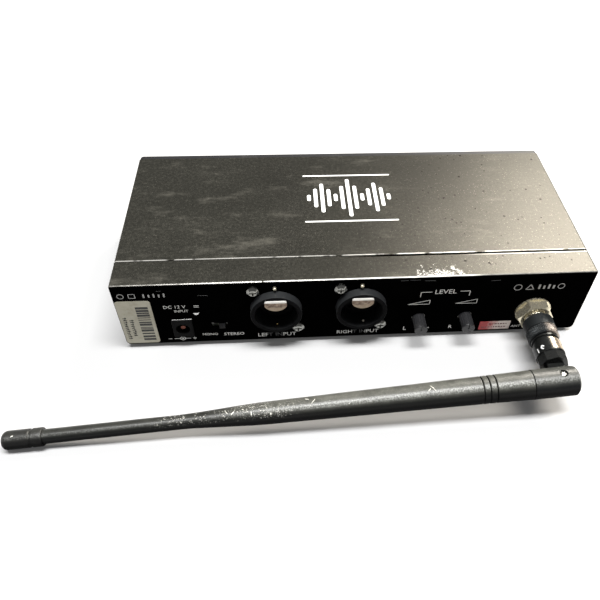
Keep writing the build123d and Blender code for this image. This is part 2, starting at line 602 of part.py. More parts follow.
with BuildPart() as antenna_socket:
    with BuildSketch(out_plane(ANT_X, ANT_Z)):
        with BuildLine():
            Polyline((2.3, -10), (6.0, -10), (6.0, -4.0), (7.5, -4.0), (7.5, -PANEL_T),
                     (BUSH_R, -PANEL_T), (BUSH_R, SOCKET_END), (SOCKET_BORE, SOCKET_END),
                     (SOCKET_BORE, 6.0), (2.3, 6.0), close=True)
        make_face()
    revolve(axis=out_axis(ANT_X, ANT_Z))
    with BuildSketch(Plane(origin=(ANT_X, REAR_Y - 12.0, ANT_Z), x_dir=(0, 1, 0), z_dir=(1, 0, 0))):
        Circle(1.0)
    extrude(amount=LUG_R, both=True)
    with BuildSketch(out_plane(ANT_X, ANT_Z)):
        with Locations((SOCKET_BORE / 2, 11.0)):
            Rectangle(SOCKET_BORE, 10.0)
    revolve(axis=out_axis(ANT_X, ANT_Z), mode=Mode.SUBTRACT)
pieces["antenna_socket"] = antenna_socket

pieces["antenna_socket_insulator"] = turned(
    ANT_X, ANT_Z, [(0.95, -10), (2.3, -10), (2.3, 13.0), (0.95, 13.0)])
pieces["antenna_socket_contact"] = turned(
    ANT_X, ANT_Z, [(0, -12.5), (0.95, -12.5), (0.95, 12.6), (0.70, 12.6), (0.70, 6.0), (0, 6.0)])

WASHER_R = 8.2
with BuildPart() as lock_washer:
    with BuildSketch(REAR):
        with Locations((ANT_X, ANT_Z)):
            Circle(WASHER_R)
            Circle(BUSH_R, mode=Mode.SUBTRACT)
        with Locations((ANT_X, ANT_Z)):
            with PolarLocations(WASHER_R, 20):
                Rectangle(0.9, 0.6, mode=Mode.SUBTRACT)
    extrude(amount=NUT_T0)
pieces["lock_washer"] = lock_washer

with BuildPart() as antenna_socket_nut:
    with BuildSketch(REAR.offset(NUT_T0)):
        with Locations((ANT_X, ANT_Z)):
            RegularPolygon(NUT_AF / 2, 6, major_radius=False)
            Circle(BUSH_R, mode=Mode.SUBTRACT)
    extrude(amount=NUT_T1 - NUT_T0)
    corner_r = NUT_AF / sqrt(3)
    with BuildSketch(out_plane(ANT_X, ANT_Z)):
        with BuildLine():
            Polyline((0, NUT_T0), (corner_r + 0.2, NUT_T0), (corner_r + 0.2, NUT_T1 - 0.9),
                     (NUT_AF / 2 - 0.1, NUT_T1), (0, NUT_T1), close=True)
        make_face()
    revolve(axis=out_axis(ANT_X, ANT_Z), mode=Mode.INTERSECT)
pieces["antenna_socket_nut"] = antenna_socket_nut

with BuildPart() as coupling_nut:
    with BuildSketch(out_plane(ANT_X, ANT_Z)):
        with BuildLine():
            Polyline((5.8, COUPLING_T0), (COUPLING_R, COUPLING_T0), (COUPLING_R, COUPLING_T1),
                     (4.6, COUPLING_T1), (4.6, 16.95), (5.8, 16.95), close=True)
        make_face()
    revolve(axis=out_axis(ANT_X, ANT_Z))
    with BuildSketch(REAR.offset(KNURL_T0)):
        with Locations((ANT_X, ANT_Z)):
            with PolarLocations(COUPLING_R + 0.1, 30):
                Circle(0.3)
    extrude(amount=COUPLING_T1 - KNURL_T0, mode=Mode.SUBTRACT)
pieces["coupling_nut"] = coupling_nut

SLEEVE_OUT = SOCKET_BORE - 0.08
pieces["retaining_ring"] = turned(
    ANT_X, ANT_Z, [(SLEEVE_OUT, 16.3), (5.45, 16.3), (5.45, 16.75), (SLEEVE_OUT, 16.75)])

TONGUE_HALF, TONGUE_R, PIN_R = 2.0, 3.6, 1.3
with BuildPart() as plug_shell:
    with BuildSketch(out_plane(ANT_X, ANT_Z)):
        with BuildLine():
            Polyline((3.2, 8.6), (SLEEVE_OUT, 8.6), (SLEEVE_OUT, 16.75), (4.5, 16.75), (4.5, 18.4),
                     (6.0, 18.4), (6.0, 19.3), (5.3, 19.3), (5.3, 20.7), (5.9, 20.7),
                     (5.9, BARREL_T0), (PLUG_BARREL_R, BARREL_T0), (PLUG_BARREL_R, BARREL_T1),
                     (0, BARREL_T1), (0, 22.0), (3.2, 22.0), close=True)
        make_face()
    revolve(axis=out_axis(ANT_X, ANT_Z))
    with BuildSketch(REAR.offset(FACET_T)):
        with Locations((ANT_X, ANT_Z)):
            Circle(PLUG_BARREL_R + 1)
            RegularPolygon(PLUG_BARREL_R, 8, mode=Mode.SUBTRACT)
    extrude(amount=BARREL_T1 - FACET_T, mode=Mode.SUBTRACT)
    with BuildSketch(TONGUE):
        Circle(TONGUE_R)
        with Locations(((PIVOT_T - BARREL_T1 + 1) / 2, 0)):
            Rectangle(PIVOT_T - BARREL_T1 + 1, 2 * TONGUE_R)
        Circle(PIN_R + RUN, mode=Mode.SUBTRACT)
    extrude(amount=TONGUE_HALF, both=True)
pieces["plug_shell"] = plug_shell

pieces["plug_insulator"] = turned(
    ANT_X, ANT_Z, [(0.65, 15.0), (3.2, 15.0), (3.2, 22.0), (0.65, 22.0)])
pieces["plug_pin"] = turned(ANT_X, ANT_Z, [(0, 8.6), (0.65, 8.6), (0.65, 22.0), (0, 22.0)])

# ---- whip --------------------------------------------------------------------------------------
ELBOW_R, ELBOW_BACK, ELBOW_FRONT = 6.25, -6.5, 12.5
SLOT_HALF, SLOT_GAP = TONGUE_HALF + 0.2, TONGUE_R + 0.3
SPIGOT_R, SPIGOT_END, ROD_R, ROD_START, ROD_END = 3.5, 24.0, 1.2, 6.0, 222.0
CAP_START, WHIP_LENGTH, CAP_R = 211.0, 227.0, 3.8
SLEEVE = [(6.2, ELBOW_FRONT), (5.75, 35.0), (4.65, 120.0), (4.55, 126.0), (3.0, 154.0),
          (2.95, 160.0), (2.95, CAP_START)]                     # (radius, distance from the pin)
RINGS, RING_W, RING_DEEP = (28.4, 31.2, 33.9), 0.7, 0.45
whip_axis = Axis(PIVOT, WHIP_DIR)

with BuildPart() as whip_elbow:
    with BuildSketch(WHIP_PROFILE):
        with BuildLine():
            Polyline((0, ELBOW_BACK), (ELBOW_R - 0.8, ELBOW_BACK), (ELBOW_R, ELBOW_BACK + 0.8),
                     (ELBOW_R, ELBOW_FRONT), (SPIGOT_R, ELBOW_FRONT), (SPIGOT_R, SPIGOT_END),
                     (ROD_R, SPIGOT_END), (ROD_R, ROD_START), (0, ROD_START), close=True)
        make_face()
    revolve(axis=whip_axis)
    with BuildSketch(ELBOW):
        with BuildLine():
            Polyline((ELBOW_BACK, 0), (ELBOW_BACK, -8 * PANEL_SIDE), (SPIGOT_END, -8 * PANEL_SIDE),
                     (SPIGOT_END, -ELBOW_BACK * PANEL_SIDE), (0, -ELBOW_BACK * PANEL_SIDE))
            RadiusArc((0, -ELBOW_BACK * PANEL_SIDE), (ELBOW_BACK, 0), ELBOW_BACK * PANEL_SIDE)
        make_face()
    extrude(amount=8, both=True, mode=Mode.INTERSECT)
    with BuildSketch(ELBOW):
        with Locations(((SLOT_GAP - 9) / 2, (9 - SLOT_GAP) / 2 * PANEL_SIDE)):
            Rectangle(SLOT_GAP + 9, SLOT_GAP + 9)
    extrude(amount=SLOT_HALF, both=True, mode=Mode.SUBTRACT)
    with BuildSketch(ELBOW):
        Circle(PIN_R)
    extrude(amount=5.0, both=True, mode=Mode.SUBTRACT)
    with BuildSketch(ELBOW.offset(5.0)):
        Circle(1.75)
    extrude(amount=2.0, mode=Mode.SUBTRACT)
pieces["whip_elbow"] = whip_elbow

with BuildPart() as pivot_pin:
    with BuildSketch(ELBOW.offset(-5.0)):
        Circle(PIN_R)
    extrude(amount=10.6)
    fillet(pivot_pin.faces().sort_by(Axis(PIVOT, PIN_DIR))[-1].edges(), 0.5)
pieces["pivot_pin"] = pivot_pin

with BuildPart() as whip_sleeve:
    with BuildSketch(WHIP_PROFILE):
        with BuildLine():
            Polyline(*SLEEVE, (ROD_R, CAP_START), (ROD_R, SPIGOT_END), (SPIGOT_R, SPIGOT_END),
                     (SPIGOT_R, ELBOW_FRONT), close=True)
        make_face()
    revolve(axis=whip_axis)
    with BuildSketch(WHIP_PROFILE):
        for s in RINGS:
            radius = 6.2 - 0.45 * (s - ELBOW_FRONT) / (35.0 - ELBOW_FRONT)
            with Locations((radius + 1 - RING_DEEP, s)):
                Rectangle(2.0, RING_W)
    revolve(axis=whip_axis, mode=Mode.SUBTRACT)
pieces["whip_sleeve"] = whip_sleeve

with BuildPart() as radiator_rod:
    with BuildSketch(WHIP_PROFILE):
        with Locations((ROD_R / 2, (ROD_START + ROD_END) / 2)):
            Rectangle(ROD_R, ROD_END - ROD_START)
    revolve(axis=whip_axis)
pieces["radiator_rod"] = radiator_rod

with BuildPart() as tip_cap:
    with BuildSketch(WHIP_PROFILE) as cap_section:
        with BuildLine():
            Polyline((ROD_R, CAP_START), (3.2, CAP_START), (CAP_R, CAP_START + 0.6),
                     (CAP_R, CAP_START + 4.0), (CAP_R - 0.35, CAP_START + 4.4),
                     (CAP_R - 0.35, CAP_START + 5.0), (CAP_R, CAP_START + 5.4),
                     (CAP_R, WHIP_LENGTH), (0, WHIP_LENGTH), (0, ROD_END), (ROD_R, ROD_END),
                     close=True)
        make_face()
        fillet(cap_section.vertices().group_by(Axis.Y)[-1].sort_by(Axis.X)[-1], 2.4)
    revolve(axis=whip_axis)
pieces["tip_cap"] = tip_cap

# ---- front controls ------------------------------------------------------------------------------


def push_button(x, radius):
    """A button with a flange behind the bezel and its face 1.2 mm proud."""
    face = Plane(origin=(x, FRONT_Y, FRONT_Z), x_dir=(-1, 0, 0), z_dir=(0, 1, 0))
    with BuildPart() as button:
        with BuildSketch(face.offset(-5.0)) as stem:
            Circle(radius)
        extrude(stem.sketch, amount=6.2)
        fillet(button.faces().sort_by(Axis.Y)[-1].edges(), 0.5)
        with BuildSketch(face.offset(-4.4)) as collar:
            Circle(radius + 0.9)
        extrude(collar.sketch, amount=1.0)
    return button


for name, x in MENU_X.items():
    pieces[f"{name}_button"] = push_button(x, BUTTON_R)
pieces["power_button"] = push_button(POWER_X, POWER_R)

VOLUME_R, VOLUME_OUT = 7.5, 10.0
volume_plane = Plane(origin=(VOLUME_X, FRONT_Y, FRONT_Z), x_dir=(-1, 0, 0), z_dir=(0, 1, 0))
pieces["volume_spindle"] = spindle(volume_plane, VOLUME_SPINDLE_R, -8.5, VOLUME_OUT - 1.6)
with BuildPart() as volume_knob:
    with BuildSketch(volume_plane.offset(0.5)):
        Circle(VOLUME_R)
        Circle(VOLUME_SPINDLE_R, mode=Mode.SUBTRACT)
        with PolarLocations(VOLUME_R + 0.2, 24):
            Circle(0.55, mode=Mode.SUBTRACT)
    extrude(amount=VOLUME_OUT - 2.1)
    with BuildSketch(volume_plane.offset(VOLUME_OUT - 1.6)):
        Circle(VOLUME_R - 0.5)
    extrude(amount=1.6)
    fillet(volume_knob.faces().sort_by(Axis.Y)[-1].edges(), 0.7)
    with BuildSketch(volume_plane.offset(VOLUME_OUT)):
        with Locations((0, VOLUME_R / 2 + 0.8)):
            Rectangle(0.9, VOLUME_R / 2)
    extrude(amount=-0.5, mode=Mode.SUBTRACT)
pieces["volume_knob"] = volume_knob

PHONES_BORE_R = 3.25
phones_plane = Plane(origin=(PHONES_X, FRONT_Y, FRONT_Z), x_dir=(-1, 0, 0), z_dir=(0, 1, 0))
with BuildPart() as phones_jack:
    with BuildSketch(phones_plane.offset(-BEZEL_T)):
        Rectangle(13, 14)
    extrude(amount=-28.0)
    with BuildSketch(phones_plane.offset(-BEZEL_T)):
        Circle(4.6)
    extrude(amount=BEZEL_T)
    with BuildSketch(phones_plane):
        Circle(6.0)
    extrude(amount=1.5)
    chamfer(phones_jack.faces().sort_by(Axis.Y)[-1].edges(), 0.4)
    with BuildSketch(phones_plane.offset(1.5)):
        Circle(PHONES_BORE_R)
    extrude(amount=-30.0, mode=Mode.SUBTRACT)
pieces["phones_jack"] = phones_jack

# ---- every piece is labelled with its node's name and written out --------------------------------
os.makedirs("parts", exist_ok=True)
for name, piece in pieces.items():
    piece.part.label = name
    export_step(piece.part, f"parts/{name}.step")
print(len(pieces), "pieces written")
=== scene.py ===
# %% [markdown]
# A half-rack wireless transmitter, seen from its rear panel. The sheet-metal case, its sockets, its
# controls and its jointed whip antenna come from the CAD frame, at their real size and place. This
# file gives them their finishes, prints the panel, sticks the labels on, and replaces the turned
# metal and rubber pieces with finer surfaces. It starts by loading the frame and keeping its box.

import json
from math import cos, pi, radians, sin, tau

import bpy
import numpy as np
from mathutils import Matrix, Vector

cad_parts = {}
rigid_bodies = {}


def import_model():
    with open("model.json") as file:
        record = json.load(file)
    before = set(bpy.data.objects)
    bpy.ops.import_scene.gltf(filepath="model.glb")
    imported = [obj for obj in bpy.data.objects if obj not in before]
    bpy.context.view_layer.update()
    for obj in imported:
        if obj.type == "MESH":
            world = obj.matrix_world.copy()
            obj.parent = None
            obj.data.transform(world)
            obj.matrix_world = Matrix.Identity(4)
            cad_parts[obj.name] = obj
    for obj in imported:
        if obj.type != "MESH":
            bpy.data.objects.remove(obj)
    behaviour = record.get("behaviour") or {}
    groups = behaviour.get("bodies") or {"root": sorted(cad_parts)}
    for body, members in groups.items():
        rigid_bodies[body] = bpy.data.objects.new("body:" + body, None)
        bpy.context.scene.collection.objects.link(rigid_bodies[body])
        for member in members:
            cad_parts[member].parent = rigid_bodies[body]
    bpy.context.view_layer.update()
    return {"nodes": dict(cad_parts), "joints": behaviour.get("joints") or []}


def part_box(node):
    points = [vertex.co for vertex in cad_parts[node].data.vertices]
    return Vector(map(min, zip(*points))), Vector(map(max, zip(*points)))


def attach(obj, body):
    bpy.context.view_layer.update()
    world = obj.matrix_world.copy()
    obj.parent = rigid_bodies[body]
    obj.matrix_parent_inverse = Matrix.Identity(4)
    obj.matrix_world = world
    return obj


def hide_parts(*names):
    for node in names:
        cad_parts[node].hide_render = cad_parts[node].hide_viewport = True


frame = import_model()
MM = 0.001
dice = np.random.default_rng(7)

# %% [markdown]
# The joints of the record say where the antenna turns, and the nodes' boxes say where everything
# else is. Reading them here keeps every later number tied to the frame.

# %% Places read from the frame


def middle(node):
    """The centre of a node's box, as an array."""
    low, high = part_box(node)
    return (np.array(low) + np.array(high)) / 2


def unit(vector):
    """The vector divided by its length."""
    return vector / np.linalg.norm(vector)


joints = {joint["name"]: joint for joint in frame["joints"]}
ant_x, panel_y, ant_z = joints["antenna_swivel"]["pos_m"]
pivot = np.array(joints["antenna_elbow"]["pos_m"])
pin_dir = unit(np.array(joints["antenna_elbow"]["axis"]))      # along the elbow's pin, nearly up
whip_dir = unit(middle("radiator_rod") - pivot)                # from the pin towards the tip
near_dir = np.cross(pin_dir, whip_dir)                         # square to both, away from the panel
cover_low, cover_high = [np.array(corner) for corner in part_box("top_cover")]
top_z, front_y = cover_high[2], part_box("front_bezel")[1][1]
print("rear panel at y", round(panel_y / MM, 2), "mm; antenna at x", round(ant_x / MM, 2), "mm")

# %% [markdown]
# A photographer's camera stands above and behind the unit, a little left of its middle, looking
# down at the rear panel. Its direction is given by three turns, and its lens by the field it needs.
# The view transform is the plain one, so that a white floor is white and black paint stays black.

# %% Camera
CAMERA_AT = np.array([-29.95, -227.76, 224.25]) * MM
FOCAL_OVER_WIDTH, SENSOR_MM = 1.01973, 36.0
SHIFT = (-0.0614, -0.0079)
TILT = (0.818138, -0.084696, -0.0001)                # turn vector of a camera that first looks level


def turn_matrix(turn):
    """Rodrigues' formula: identity + sin(a) times the cross matrix + (1 - cos(a)) times its square."""
    angle = np.linalg.norm(turn)
    x, y, z = np.array(turn) / angle
    cross = np.array([[0, -z, y], [z, 0, -x], [-y, x, 0]])
    return np.eye(3) + sin(angle) * cross + (1 - cos(angle)) * cross @ cross


LEVEL = np.array([[1.0, 0, 0], [0, 0, -1], [0, 1, 0]])   # rows: right, down and forward
right, down, forward = turn_matrix(TILT) @ LEVEL
camera_data = bpy.data.cameras.new("camera")
camera_data.sensor_width = SENSOR_MM
camera_data.lens = FOCAL_OVER_WIDTH * SENSOR_MM
camera_data.shift_x, camera_data.shift_y = SHIFT
camera_data.clip_start = 0.01
camera = bpy.data.objects.new("camera", camera_data)
bpy.context.scene.collection.objects.link(camera)
pose = Matrix([list(row) for row in np.array([right, -down, -forward]).T]).to_4x4()
pose.translation = Vector(CAMERA_AT)
camera.matrix_world = pose
bpy.context.scene.camera = camera
bpy.context.scene.view_settings.view_transform = "Standard"
print("camera lens", round(camera_data.lens, 2), "mm")

# %% [markdown]
# Shader arithmetic reads best as arithmetic. A Field wraps one socket, so that a + b or 1 - mask
# adds the Math node it stands for, and a Finish is one material, whose node() makes any other node.

# %% Fields and finishes


class Field:
    """A number, colour or vector that a finish works out at each point of a surface."""

    def __init__(self, finish, socket):
        self.finish, self.socket = finish, socket

    def maths(self, operation, *values):
        return self.finish.node("ShaderNodeMath", {"operation": operation}, dict(enumerate(values)))

    def __add__(self, other):
        return self.maths("ADD", self, other)

    def __sub__(self, other):
        return self.maths("SUBTRACT", self, other)

    def __rsub__(self, other):
        return self.maths("SUBTRACT", other, self)

    def __mul__(self, other):
        return self.maths("MULTIPLY", self, other)

    __radd__, __rmul__ = __add__, __mul__

    def size(self):
        return self.maths("ABSOLUTE", self)

    def wave(self):
        return self.maths("SINE", self)

    def root(self):
        return self.maths("SQRT", self)

    def larger(self, other):
        return self.maths("MAXIMUM", self, other)

    def angle_from(self, other):
        """The angle whose tangent is this field over the other."""
        return self.maths("ARCTAN2", self, other)

    def rise(self, start, end):
        """0 before start, 1 after end, and a smooth step between them."""
        spans = {"Value": self, "From Min": start, "From Max": end}
        return self.finish.node("ShaderNodeMapRange", {"interpolation_type": "SMOOTHSTEP"}, spans)

    def within(self, low, high, soft):
        """1 between low and high, fading to 0 over soft on each side."""
        return self.rise(low - soft, low) * (1 - self.rise(high, high + soft))


class Finish:
    """A node material: node() makes nodes, surface() sets the shader's own sockets."""

    def __init__(self, name):
        self.material = bpy.data.materials.new(name)
        self.material.use_nodes = True
        self.tree = self.material.node_tree
        self.tree.nodes.clear()
        self.output = self.tree.nodes.new("ShaderNodeOutputMaterial")
        self.last = None

    def node(self, kind, settings=None, inputs=None, out=0):
        node = self.tree.nodes.new(kind)
        for name, value in (settings or {}).items():
            if name == "stops":
                ramp = node.color_ramp.elements
                for place, (at, shade) in enumerate(value):
                    stop = ramp[place] if place < len(ramp) else ramp.new(at)
                    stop.position, stop.color = at, (*shade, 1)
            else:
                setattr(node, name, value)
        for name, value in (inputs or {}).items():
            if isinstance(value, Field):
                self.tree.links.new(value.socket, node.inputs[name])
            elif value is not None:
                socket = node.inputs[name]
                plain = not hasattr(socket.default_value, "__len__")
                padded = plain or len(value) == len(socket.default_value)
                socket.default_value = value if padded else (*value, 1)
        return Field(self, node.outputs[out])

    def place(self, scale=None):
        """Object coordinates in metres, stretched by a Mapping node if asked."""
        point = self.node("ShaderNodeTexCoord", out=3)
        return self.node("ShaderNodeMapping", None, {"Vector": point, "Scale": scale}) if scale else point

    def axes(self):
        """The three object coordinates as numbers, in metres."""
        return [self.node("ShaderNodeSeparateXYZ", None, {0: self.place()}, out) for out in range(3)]

    def along(self, direction, start):
        """Distance from start along a direction: their difference's dot product with it, in metres."""
        dot = self.node("ShaderNodeVectorMath", {"operation": "DOT_PRODUCT"},
                        {0: self.place(), 1: tuple(direction)}, 1)
        return dot - float(np.dot(direction, start))

    def noise(self, per_metre, detail=3.0, rough=0.5, stretch=None):
        """Soft random values about 0.5; per_metre is how many features fit in a metre."""
        inputs = {"Vector": self.place(stretch), "Scale": per_metre, "Detail": detail, "Roughness": rough}
        return self.node("ShaderNodeTexNoise", None, inputs)

    def specks(self, per_metre, share, inner, outer):
        """Dots: 1 within inner of some cells' random points, 0 past outer, for a share of the cells."""
        cell = {"Vector": self.place(), "Scale": per_metre}
        near = 1 - self.node("ShaderNodeTexVoronoi", None, cell).rise(inner, outer)
        cell_colour = self.node("ShaderNodeTexVoronoi", None, cell, 1)
        lot = self.node("ShaderNodeSeparateColor", None, {0: cell_colour})
        return near * lot.rise(1 - share - 0.01, 1 - share + 0.01)

    def mix(self, factor, under, over):
        """under where factor is 0, over where it is 1."""
        return self.node("ShaderNodeMix", {"data_type": "RGBA"}, {0: factor, 6: under, 7: over}, 2)

    def bump(self, height, depth, strength=1.0, onto=None):
        """A normal from a height field whose full range is depth metres."""
        inputs = {"Height": height, "Distance": depth, "Strength": strength, "Normal": onto}
        return self.node("ShaderNodeBump", None, inputs)

    def surface(self, over=None, **sockets):
        """Adds a shader with these sockets; where over is 1 it covers the one that was there before."""
        shader = self.tree.nodes.new("ShaderNodeBsdfPrincipled")
        for name, value in sockets.items():
            socket = shader.inputs[name.replace("_", " ")]
            if isinstance(value, Field):
                self.tree.links.new(value.socket, socket)
            elif hasattr(value, "__len__") and len(value) == 3:
                socket.default_value = (*value, 1)
            else:
                socket.default_value = value
        top = shader
        if self.last:
            top = self.tree.nodes.new("ShaderNodeMixShader")
            for place, source in enumerate((over.socket, self.last.outputs[0], shader.outputs[0])):
                self.tree.links.new(source, top.inputs[place])
        self.tree.links.new(top.outputs[0], self.output.inputs["Surface"])
        self.last = top
        return self.material


def wear(node_name, material):
    """Gives a CAD node a finish."""
    obj = frame["nodes"][node_name]
    obj.data.materials.clear()
    obj.data.materials.append(material)


print("finishes can be mixed")

# %% [markdown]
# The cover is steel with a fine, dark olive-grey paint that holds a pale metallic fleck. Close up it
# is all grain, and at a low angle it has a broad warm sheen. Years on stages have left grey crumbs of
# dust in the grain and dark pinholes. Along the seam the cut edge is painted bright in the colour of
# bare metal: a painted highlight.

# %% Case paint
PAINT_DARK, PAINT_MID, PAINT_PALE = (0.009, 0.009, 0.0075), (0.022, 0.022, 0.0185), (0.080, 0.077, 0.064)
DUST, BARE_METAL, PINHOLE = (0.42, 0.40, 0.34), (0.80, 0.79, 0.75), (0.008, 0.007, 0.006)
WARM = (1.0, 0.93, 0.80)                              # tint of the paint's sheen


def painted(finish, x):
    """The olive paint's colour, roughness and grain, shared by the cover and the rear pan."""
    grain = finish.noise(2400, detail=2.0, rough=0.6) * 0.7 + finish.noise(700, detail=1.0) * 0.3
    drift = finish.noise(24, detail=3.0, rough=0.6)
    tone = finish.node("ShaderNodeValToRGB", {"stops": [
        (0.34, PAINT_DARK), (0.52, PAINT_MID), (0.74, PAINT_PALE)]}, {"Fac": grain * 0.8 + drift * 0.2})
    to_right = x.rise(-0.04, 0.09)
    tone = finish.mix(finish.specks(1300, 0.16, 0.10, 0.34) * (0.14 + to_right * 0.30), tone, DUST)
    smear = finish.noise(30, detail=5.0, rough=0.65, stretch=(1.0, 2.6, 1.0)).rise(0.54, 0.72)
    tone = finish.mix(smear * 0.10, tone, DUST)
    pits = finish.specks(190, 0.20, 0.09, 0.15).larger(finish.specks(430, 0.12, 0.13, 0.24)) * to_right
    rough = 0.33 + smear * 0.10 + (grain - 0.5) * 0.22
    return tone, rough, grain, pits


cover = Finish("cover_paint")
x, y, z = cover.axes()
tone, rough, grain, pits = painted(cover, x)
seam_y = cover_low[1]
# The cut edge along the seam: a painted highlight in bare-metal colour with more metal, fading out to the
# right.
lip_painted_light = (1 - y.rise(seam_y + 0.0003, seam_y + 0.0007)) * cover.noise(180, detail=4.0).rise(0.34, 0.50)
lip_painted_light = lip_painted_light * (1 - x.rise(0.045, 0.075) * 0.6) * z.rise(top_z - 0.0008, top_z - 0.0003)
cover.surface(
    Base_Color=cover.mix(lip_painted_light * 0.85, tone, BARE_METAL), Roughness=rough, Metallic=0.30 + lip_painted_light * 0.4,
    Specular_IOR_Level=0.55, Specular_Tint=WARM, Normal=cover.bump(grain, 0.00012, 0.8))
wear("top_cover", cover.surface(
    over=pits * 0.9, Base_Color=cover.mix(grain, PINHOLE, PAINT_DARK), Roughness=0.9, Specular_IOR_Level=0.0))
print("cover painted")

# %% [markdown]
# The rear pan has the same paint on its folded top strip. Its upright face is given a deep matt black
# with no gloss, painted shade on the face that turns from the lamps. Where the sheet folds, the bright
# line is partly paint worn through and partly a painted highlight, and beside the level controls
# something has scraped a white ragged patch. Beside the seam the strip gets a painted shadow, and on
# the right a painted highlight on its cut edge. Strip and face are two shaders, mixed by a mask.

# %% Rear pan
FOLD = 0.9 * MM                                       # the fold's radius
PATCH_X, PATCH_DEPTH = (0.026, 0.044), 0.0085         # the scraped patch along and across the strip
BREAK_X = -0.0414                                     # a dark nick in the bright line
STRIP_Y = cover_low[1] - 0.4 * MM                     # where the strip ends and the seam's shadow lies
pan = Finish("panel_paint")
x, y, z = pan.axes()
tone, rough, grain, pits = painted(pan, x)
# The bright line along the fold: partly paint worn through, partly a painted highlight of the rounded edge.
worn = 1 - y.rise(panel_y + 0.35 * FOLD, panel_y + 1.3 * FOLD)
worn = worn * z.rise(top_z - 1.3 * FOLD, top_z - 0.8 * FOLD)
worn = worn * (pan.noise(260, detail=4.0, rough=0.7).rise(0.30, 0.56) * 0.5 + 0.5 * x.rise(-0.105, -0.06))
worn = worn * (1 - x.rise(0.046, 0.056) * 0.8) * (0.45 + 0.55 * x.rise(-0.080, -0.055))
worn = worn * (x - BREAK_X).size().rise(0.0003, 0.0005)
depth_in = y - panel_y
ragged = pan.noise(420, detail=5.0, rough=0.75) - depth_in * 32.0 - (x - 0.0350).size() * 10.0
patch = ragged.rise(0.30, 0.36) * x.within(*PATCH_X, 0.003)
patch = patch * (1 - depth_in.rise(PATCH_DEPTH, PATCH_DEPTH + 0.001))
patch = patch * pan.noise(1300, detail=4.0, rough=0.8).rise(0.46, 0.56)
# A painted shadow: the strip's last millimetre beside the seam goes near black.
gap = y.rise(STRIP_Y - 0.0010, STRIP_Y - 0.0008) * z.rise(top_z - 0.0010, top_z - 0.0005)
gap = gap * x.rise(-0.012, 0.012)
# A painted highlight: a thin pale line on the strip's cut edge at the seam, on the right.
cut_edge_highlight = y.within(STRIP_Y - 0.0013, STRIP_Y - 0.0010, 0.0002) * x.rise(0.045, 0.065)
pale = worn.larger(patch * 0.85).larger(cut_edge_highlight * 0.6)
pan.surface(Base_Color=pan.mix(pale * 0.92, tone, BARE_METAL), Roughness=rough + pale * 0.06,
            Metallic=0.30 - patch * 0.28, Specular_IOR_Level=0.55, Specular_Tint=WARM,
            Normal=pan.bump(grain, 0.00011, 0.7))
# Painted shade: the upright face and the lower part of the fold take a near-black matt shader with no gloss,
# with a few dust patches; the seam's painted shadow and the pinholes use it too.
below_fold = 1 - z.rise(top_z - 1.6 * FOLD, top_z - 1.2 * FOLD)
below_fold = below_fold * (1 - y.rise(panel_y + FOLD, panel_y + 1.4 * FOLD))
face = (1 - y.rise(panel_y + 0.25 * FOLD, panel_y + 0.45 * FOLD)).larger(below_fold)
shade_black_and_dust = pan.mix(pan.noise(900), (0.0003, 0.0003, 0.0003), (0.0010, 0.0010, 0.0010))
shade_black_and_dust = pan.mix(pan.noise(26, detail=5.0, rough=0.7).rise(0.52, 0.80) * 0.0015, shade_black_and_dust, DUST)
wear("rear_panel", pan.surface(
    over=face.larger(gap).larger(pits * 0.9), Base_Color=shade_black_and_dust, Roughness=0.7 + pan.noise(200) * 0.1,
    Specular_IOR_Level=0.0, Normal=pan.bump(pan.noise(2600, detail=2.0), 0.00004, 0.4)))
print("rear pan painted")

# %% [markdown]
# Most of the other finishes are moulded plastic or plated metal. Each is made by one short
# function, with a little unevenness in colour and gloss, so that none looks like clean plastic.

# %% Plastics and plated metals


def moulded(name, shade, rough=0.45, dusty=0.5, grain_depth=0.00003, gloss=0.5):
    """Moulded plastic: faint mottling, fine texture, a few dusty patches."""
    finish = Finish(name)
    mottle = finish.noise(180, detail=4.0, rough=0.6)
    dust = finish.noise(70, detail=5.0, rough=0.7).rise(0.55, 0.80)
    lighter = tuple(min(1.0, channel * 1.5 + 0.004) for channel in shade)
    colour = finish.mix(dust * 0.08 * dusty, finish.mix(mottle, shade, lighter), DUST)
    return finish.surface(Base_Color=colour, Roughness=rough + dust * 0.15 - mottle * 0.06,
                          Specular_IOR_Level=gloss,
                          Normal=finish.bump(finish.noise(3200, detail=2.0), grain_depth, 0.4))


def plated(name, shade, rough=0.22, tarnish=(0.18, 0.14, 0.08), amount=0.35, thread=0.0, metallic=1.0):
    """Plated metal: tarnish in patches, handling scratches, uneven gloss, and a screw thread if asked."""
    finish = Finish(name)
    patch = finish.noise(420, detail=5.0, rough=0.65).rise(0.45, 0.75)
    scratch = finish.noise(1100, detail=4.0, rough=0.7)
    normal = finish.bump(scratch, 0.00002, 0.35)
    if thread:
        turns = finish.axes()[1] * (tau / thread)
        normal = finish.bump(turns.wave() * 0.5 + 0.5, 0.4 * thread, 1.0, normal)
    return finish.surface(Base_Color=finish.mix(patch * amount, shade, tarnish), Metallic=metallic,
                          Roughness=rough + patch * 0.18 + scratch * 0.10, Normal=normal)


